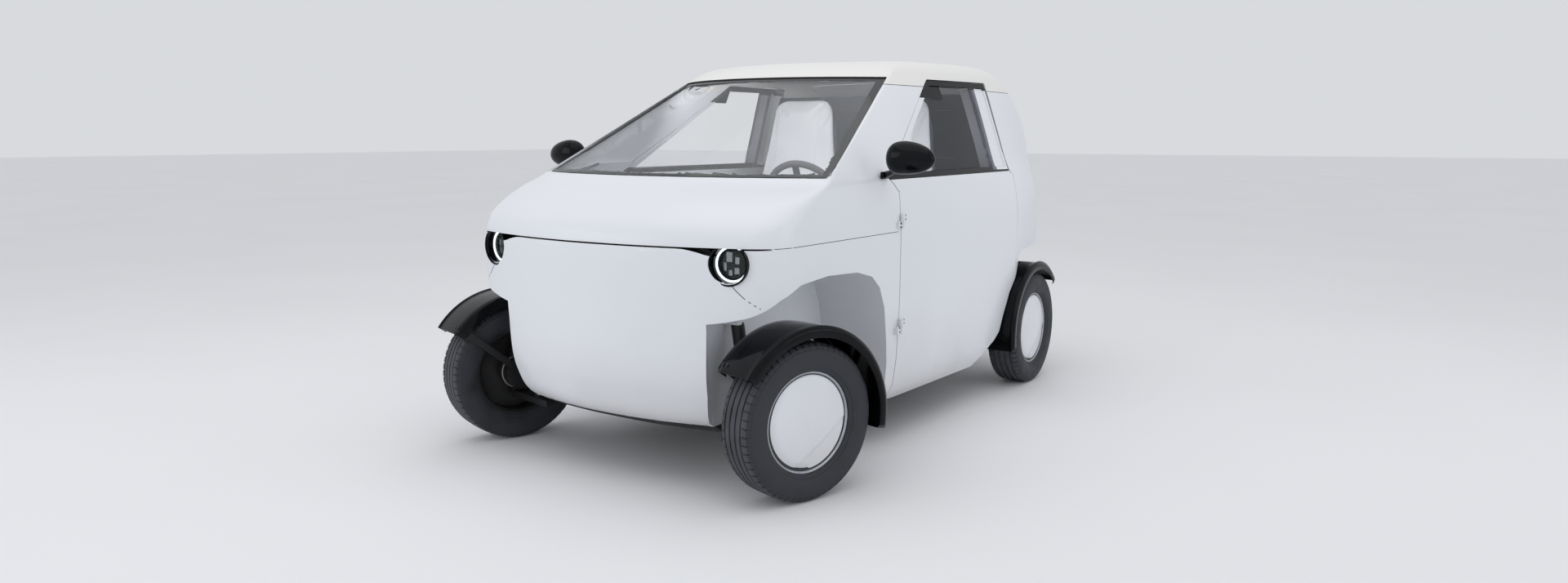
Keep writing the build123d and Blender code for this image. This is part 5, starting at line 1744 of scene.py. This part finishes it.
piece = finished_piece("steering_wheel_dressed", joined("steering_wheel_dressed", wheel_parts), None,
                       "steering_wheel", "steering_wheel")

dash_parts = []
for width, depth, height, place, finish in (
        (0.260, 0.030, 0.070, (0.255, -0.735, 0.955), cabin_black),
        (0.236, 0.006, 0.052, (0.255, -0.7185, 0.957), black_gloss),
        (0.070, 0.020, 0.050, (0.500, -0.700, 0.860), cabin_black),
        (0.070, 0.020, 0.050, (-0.500, -0.700, 0.860), cabin_black),
        (0.150, 0.020, 0.100, (0.0, -0.700, 0.860), black_gloss)):
    block = rounded_box(width, depth, height, min(depth, height) * 0.22, finish)
    dash_parts.append(placed(block, Matrix.Translation(place)))
finished_piece("dashboard_fittings", joined("dashboard_fittings", dash_parts), None, "chassis")
for side, word in ((1, "left"), (-1, "right")):
    pulls = []
    for width, depth, height, place, finish in ((0.022, 0.240, 0.030, (0.588, 0.02, 0.840), cabin_black),
                                                (0.014, 0.060, 0.040, (0.592, 0.34, 0.880), cabin_black)):
        block = rounded_box(width, depth, height, 0.006, finish)
        pulls.append(placed(block, Matrix.Translation((side * place[0], place[1], place[2]))))
    finished_piece(f"door_pull_{word}", joined(f"door_pull_{word}", pulls), None, f"door_{word}")

# %% [markdown]
# ## Brakes, tail lamps and plate
#
# Each wheel hides a cast drum with a machined rim. The tail lamps are red acrylic domes in black
# rings. The number plate is blank pressed aluminium, white with a black edge, and it follows the
# slight curve of the tail.

# %% Tail finishes


def red_acrylic(name, colour, deep):
    """Red acrylic over a reflector: dark and deep in the middle, glossy on top."""
    material, tree, shader, place = start_finish(name, colour, 0.08, Coat_Weight=0.8, Coat_Roughness=0.03,
                                                 IOR=1.49)
    flutes = add_node(tree, "ShaderNodeTexWave", {"Vector": place, "Scale": 40.0, "Distortion": 0.0},
                      bands_direction="X")
    cloud = speckle(tree, place, 30, 2.0)
    tree.links.new(blend_colours(tree, cloud, colour, deep), shader.inputs["Base Color"])
    emboss(tree, shader, flutes.outputs["Fac"], 0.4, 0.4)
    return material


tail_red = red_acrylic("red_acrylic_lens", "#8c1018", "#6d0a12")
plate_white = panel_finish("white_pressed_aluminium", "#e9ebee", "#dcdfe2")

# %% Drums, tail lamps, plate
DRUM = [(-0.046, 0.012), (-0.046, 0.058), (-0.043, 0.064), (-0.016, 0.064), (-0.013, 0.060), (-0.013, 0.012)]
for name, matrix in CORNER.items():
    drum = coloured(lathe(f"brake_drum_{name}", DRUM, 64), brake_disc)
    finished_piece(f"brake_drum_{name}", placed(drum, matrix), None, f"road_wheel_{name}")

LAMP_RING = [(0.0, 0.030), (0.0, 0.0455), (0.018, 0.0455), (0.021, 0.044), (0.021, 0.040), (0.012, 0.0385),
             (0.010, 0.030)]
LAMP_DOME = [(0.002, 0.001), (0.002, 0.038), (0.012, 0.038), (0.019, 0.035), (0.024, 0.028), (0.0275, 0.018),
             (0.029, 0.008), (0.0292, 0.001)]
lamps = []
for side in (1, -1):
    behind = facing_frame((side * 0.372, 1.3063, 0.845), (0, 1, 0))
    for outline, finish in ((LAMP_RING, black_gloss), (LAMP_DOME, tail_red)):
        lamps.append(placed(coloured(lathe("tail_lamp", outline, 64), finish), behind))
piece = finished_piece("tail_lamps_dressed", joined("tail_lamps_dressed", lamps), None, "chassis",
                       "tail_lamps")

tail_tree = surface_tree(nodes["tail_panel"].data)


def tail_y(x, z):
    """Where the tail panel's surface is, looked at from behind."""
    spot = tail_tree.ray_cast(Vector((x, 2.0, z)), Vector((0, -1, 0)))[0]
    return min(spot.y, 1.3475) if spot else 1.34


PLATE_HALF, PLATE_LOW, PLATE_HIGH, BORDER = 0.160, 0.690, 0.790, 0.007
SCREW_X, SCREW_Z, PLATE_BACK, PLATE_FRONT = 0.120, 0.745, 0.0002, 0.0014
plate = bmesh.new()
columns = [-PLATE_HALF, *spread(BORDER - PLATE_HALF, PLATE_HALF - BORDER, 31), PLATE_HALF]
rows = [PLATE_LOW, *spread(PLATE_LOW + BORDER, PLATE_HIGH - BORDER, 9), PLATE_HIGH]
curve = [(x, tail_y(x * 0.98, SCREW_Z)) for x in columns]
far, near = [[[plate.verts.new((x, y + lift, z)) for x, y in curve] for z in rows]
             for lift in (PLATE_BACK, PLATE_FRONT)]
top, end = len(rows) - 1, len(columns) - 1
for r in range(top):
    for c in range(end):
        plate.faces.new((near[r][c], near[r][c + 1], near[r + 1][c + 1], near[r + 1][c]))
        plate.faces.new((far[r][c], far[r + 1][c], far[r + 1][c + 1], far[r][c + 1]))
edge = ([(0, c) for c in range(end + 1)] + [(r, end) for r in range(1, top + 1)]
        + [(top, c) for c in range(end - 1, -1, -1)] + [(r, 0) for r in range(top - 1, 0, -1)])
for (r0, c0), (r1, c1) in zip(edge, edge[1:] + edge[:1]):
    plate.faces.new((far[r0][c0], far[r1][c1], near[r1][c1], near[r0][c0]))
faces_outward(plate)
plate_mesh = stored(plate, "number_plate_blank")
shade_by_angle(plate_mesh)


def plate_colour(centre, normal):
    border = abs(centre.x) > PLATE_HALF - BORDER or not PLATE_LOW + BORDER < centre.z < PLATE_HIGH - BORDER
    return 1 if border else 0


paint(plate_mesh, (plate_white, black_gloss), plate_colour)
finished_piece("number_plate_blank", plate_mesh, None, "chassis")
marks = [((side * SCREW_X, tail_y(SCREW_X, SCREW_Z) + PLATE_FRONT, SCREW_Z), (0, 1, 0)) for side in (1, -1)]
screws("plate_screws", marks, "chassis", zinc_plate, 4.5, 2.0, 6, 1.3)
print("plate's outermost point:", round(max(v.co.y for v in plate_mesh.vertices), 4))

# %% [markdown]
# ### Drive unit
#
# The motor and its gears sit in one ribbed die-cast case. A Geometry Nodes line sets copies of a
# single fin along the case, and a bolted cover closes each end.

# %% Fins and covers


def row_tree(finish):
    """Sets copies of a piece in a straight row."""
    tree, given, result = new_tree("row_of_fins", {"Count": ("Int", 11), "Step": ("Float", 0.03)})
    offset = add_node(tree, "ShaderNodeCombineXYZ", {"X": given.outputs["Step"]})
    line = add_node(tree, "GeometryNodeMeshLine", {"Count": given.outputs["Count"],
                                                  "Offset": offset.outputs[0]})
    copies = add_node(tree, "GeometryNodeInstanceOnPoints", {"Points": line.outputs[0],
                                                            "Instance": given.outputs["Geometry"]})
    real = add_node(tree, "GeometryNodeRealizeInstances", {"Geometry": copies.outputs[0]})
    painted = add_node(tree, "GeometryNodeSetMaterial", {"Geometry": real.outputs[0], "Material": finish})
    tree.links.new(painted.outputs[0], result.inputs[0])
    return tree


casting, cover_bolts = [], []
for deep, tall, place in ((0.018, 0.200, (-0.165, 1.009, 0.300)), (0.200, 0.016, (-0.165, 0.873, 0.165))):
    fin = rounded_box(0.006, deep, tall, 0.002, cast_alloy)
    fins = coloured(made_by_tree(fin, row_tree(cast_alloy), {"Count": 12, "Step": 0.030}), cast_alloy)
    casting.append(placed(fins, Matrix.Translation(place)))
CASE_X, CASE_Y, CASE_Z, BOLT_X, BOLT_CIRCLE = 0.190, 0.858, 0.290, 0.1985, 0.086
CASE_COVER = [(0.0, 0.016), (0.0, 0.096), (0.006, 0.098), (0.010, 0.094), (0.013, 0.060), (0.022, 0.040),
              (0.024, 0.016)]
for side in (1, -1):
    turned = facing_frame((side * CASE_X, CASE_Y, CASE_Z), (side, 0, 0))
    casting.append(placed(coloured(lathe("case_cover", CASE_COVER, 64), cast_alloy), turned))
    for k in range(8):
        a = 2 * pi * (k + 0.5) / 8
        y, z = CASE_Y + BOLT_CIRCLE * cos(a), CASE_Z + BOLT_CIRCLE * sin(a)
        cover_bolts.append(((side * BOLT_X, y, z), (side, 0, 0)))
piece = finished_piece("drive_unit_casting", joined("drive_unit_casting", casting), None, "chassis")
screws("drive_unit_bolts", cover_bolts, "chassis", zinc_plate, 4.5, 4.0)

# The tub's rear corners are cut back to the body's rounded plan.
TUB_REAR_Y, TUB_SIDE_X, NARROWED, DRAWN_IN = 1.15, 0.40, 0.80, 0.035
tub = nodes["floor_tub"].data.copy()
for vertex in tub.vertices:
    if vertex.co.y > TUB_REAR_Y and abs(vertex.co.x) > TUB_SIDE_X:
        vertex.co.x *= NARROWED
        vertex.co.y -= DRAWN_IN
tub.update()
finished_piece("floor_tub_trimmed", tub, black_underside, "chassis", "floor_tub")

# %% [markdown]
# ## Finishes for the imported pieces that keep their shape
#
# Pieces that are already right, such as the battery box, take a finish and nothing else.

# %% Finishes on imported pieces
PACKED_FINISHES = {
    "battery_box": black_underside, "drive_unit": cast_alloy,
    "front_suspension": black_ecoat, "rear_axle": black_ecoat, "knuckle_left": black_ecoat,
    "knuckle_right": black_ecoat, "rear_bulkhead": bulkhead_felt, "dashboard": cabin_lining,
}
for node, finish in PACKED_FINISHES.items():
    nodes[node].data.materials.clear()
    nodes[node].data.materials.append(finish)

# The damper mounts are part of the white body, and so is everything above them.
MOUNT_Z = 0.505
arms = nodes["front_suspension"].data
arms.materials.append(white_panel)
for polygon in arms.polygons:
    polygon.material_index = 1 if polygon.center.z > MOUNT_Z else 0

# %% [markdown]
# ## Floor
#
# The floor is a plain pale studio floor, like painted screed. It reaches far past the picture,
# so no edge of it shows from any side, and the sky around it has nearly the same tone.

# %% Floor and sky
floor_mesh = bpy.data.meshes.new("studio_floor")
reach = 60.0
floor_mesh.from_pydata([(-reach, -reach, 0), (reach, -reach, 0), (reach, reach, 0), (-reach, reach, 0)],
                       [], [(0, 1, 2, 3)])
floor = linked("studio_floor", floor_mesh)
painted, tree, shader, place = start_finish("painted_studio_screed", "#f0f0f2", 0.85)
tree.links.new(blend_colours(tree, speckle(tree, place, 1800, 2.0), "#f1f1f3", "#efeff1"),
               shader.inputs["Base Color"])
floor_mesh.materials.append(painted)
sky = bpy.data.worlds.new("studio_sky")
bpy.context.scene.world = sky
sky.use_nodes = True
sky.node_tree.nodes["Background"].inputs["Color"].default_value = linear("#dadcdf")
sky.node_tree.nodes["Background"].inputs["Strength"].default_value = 0.98
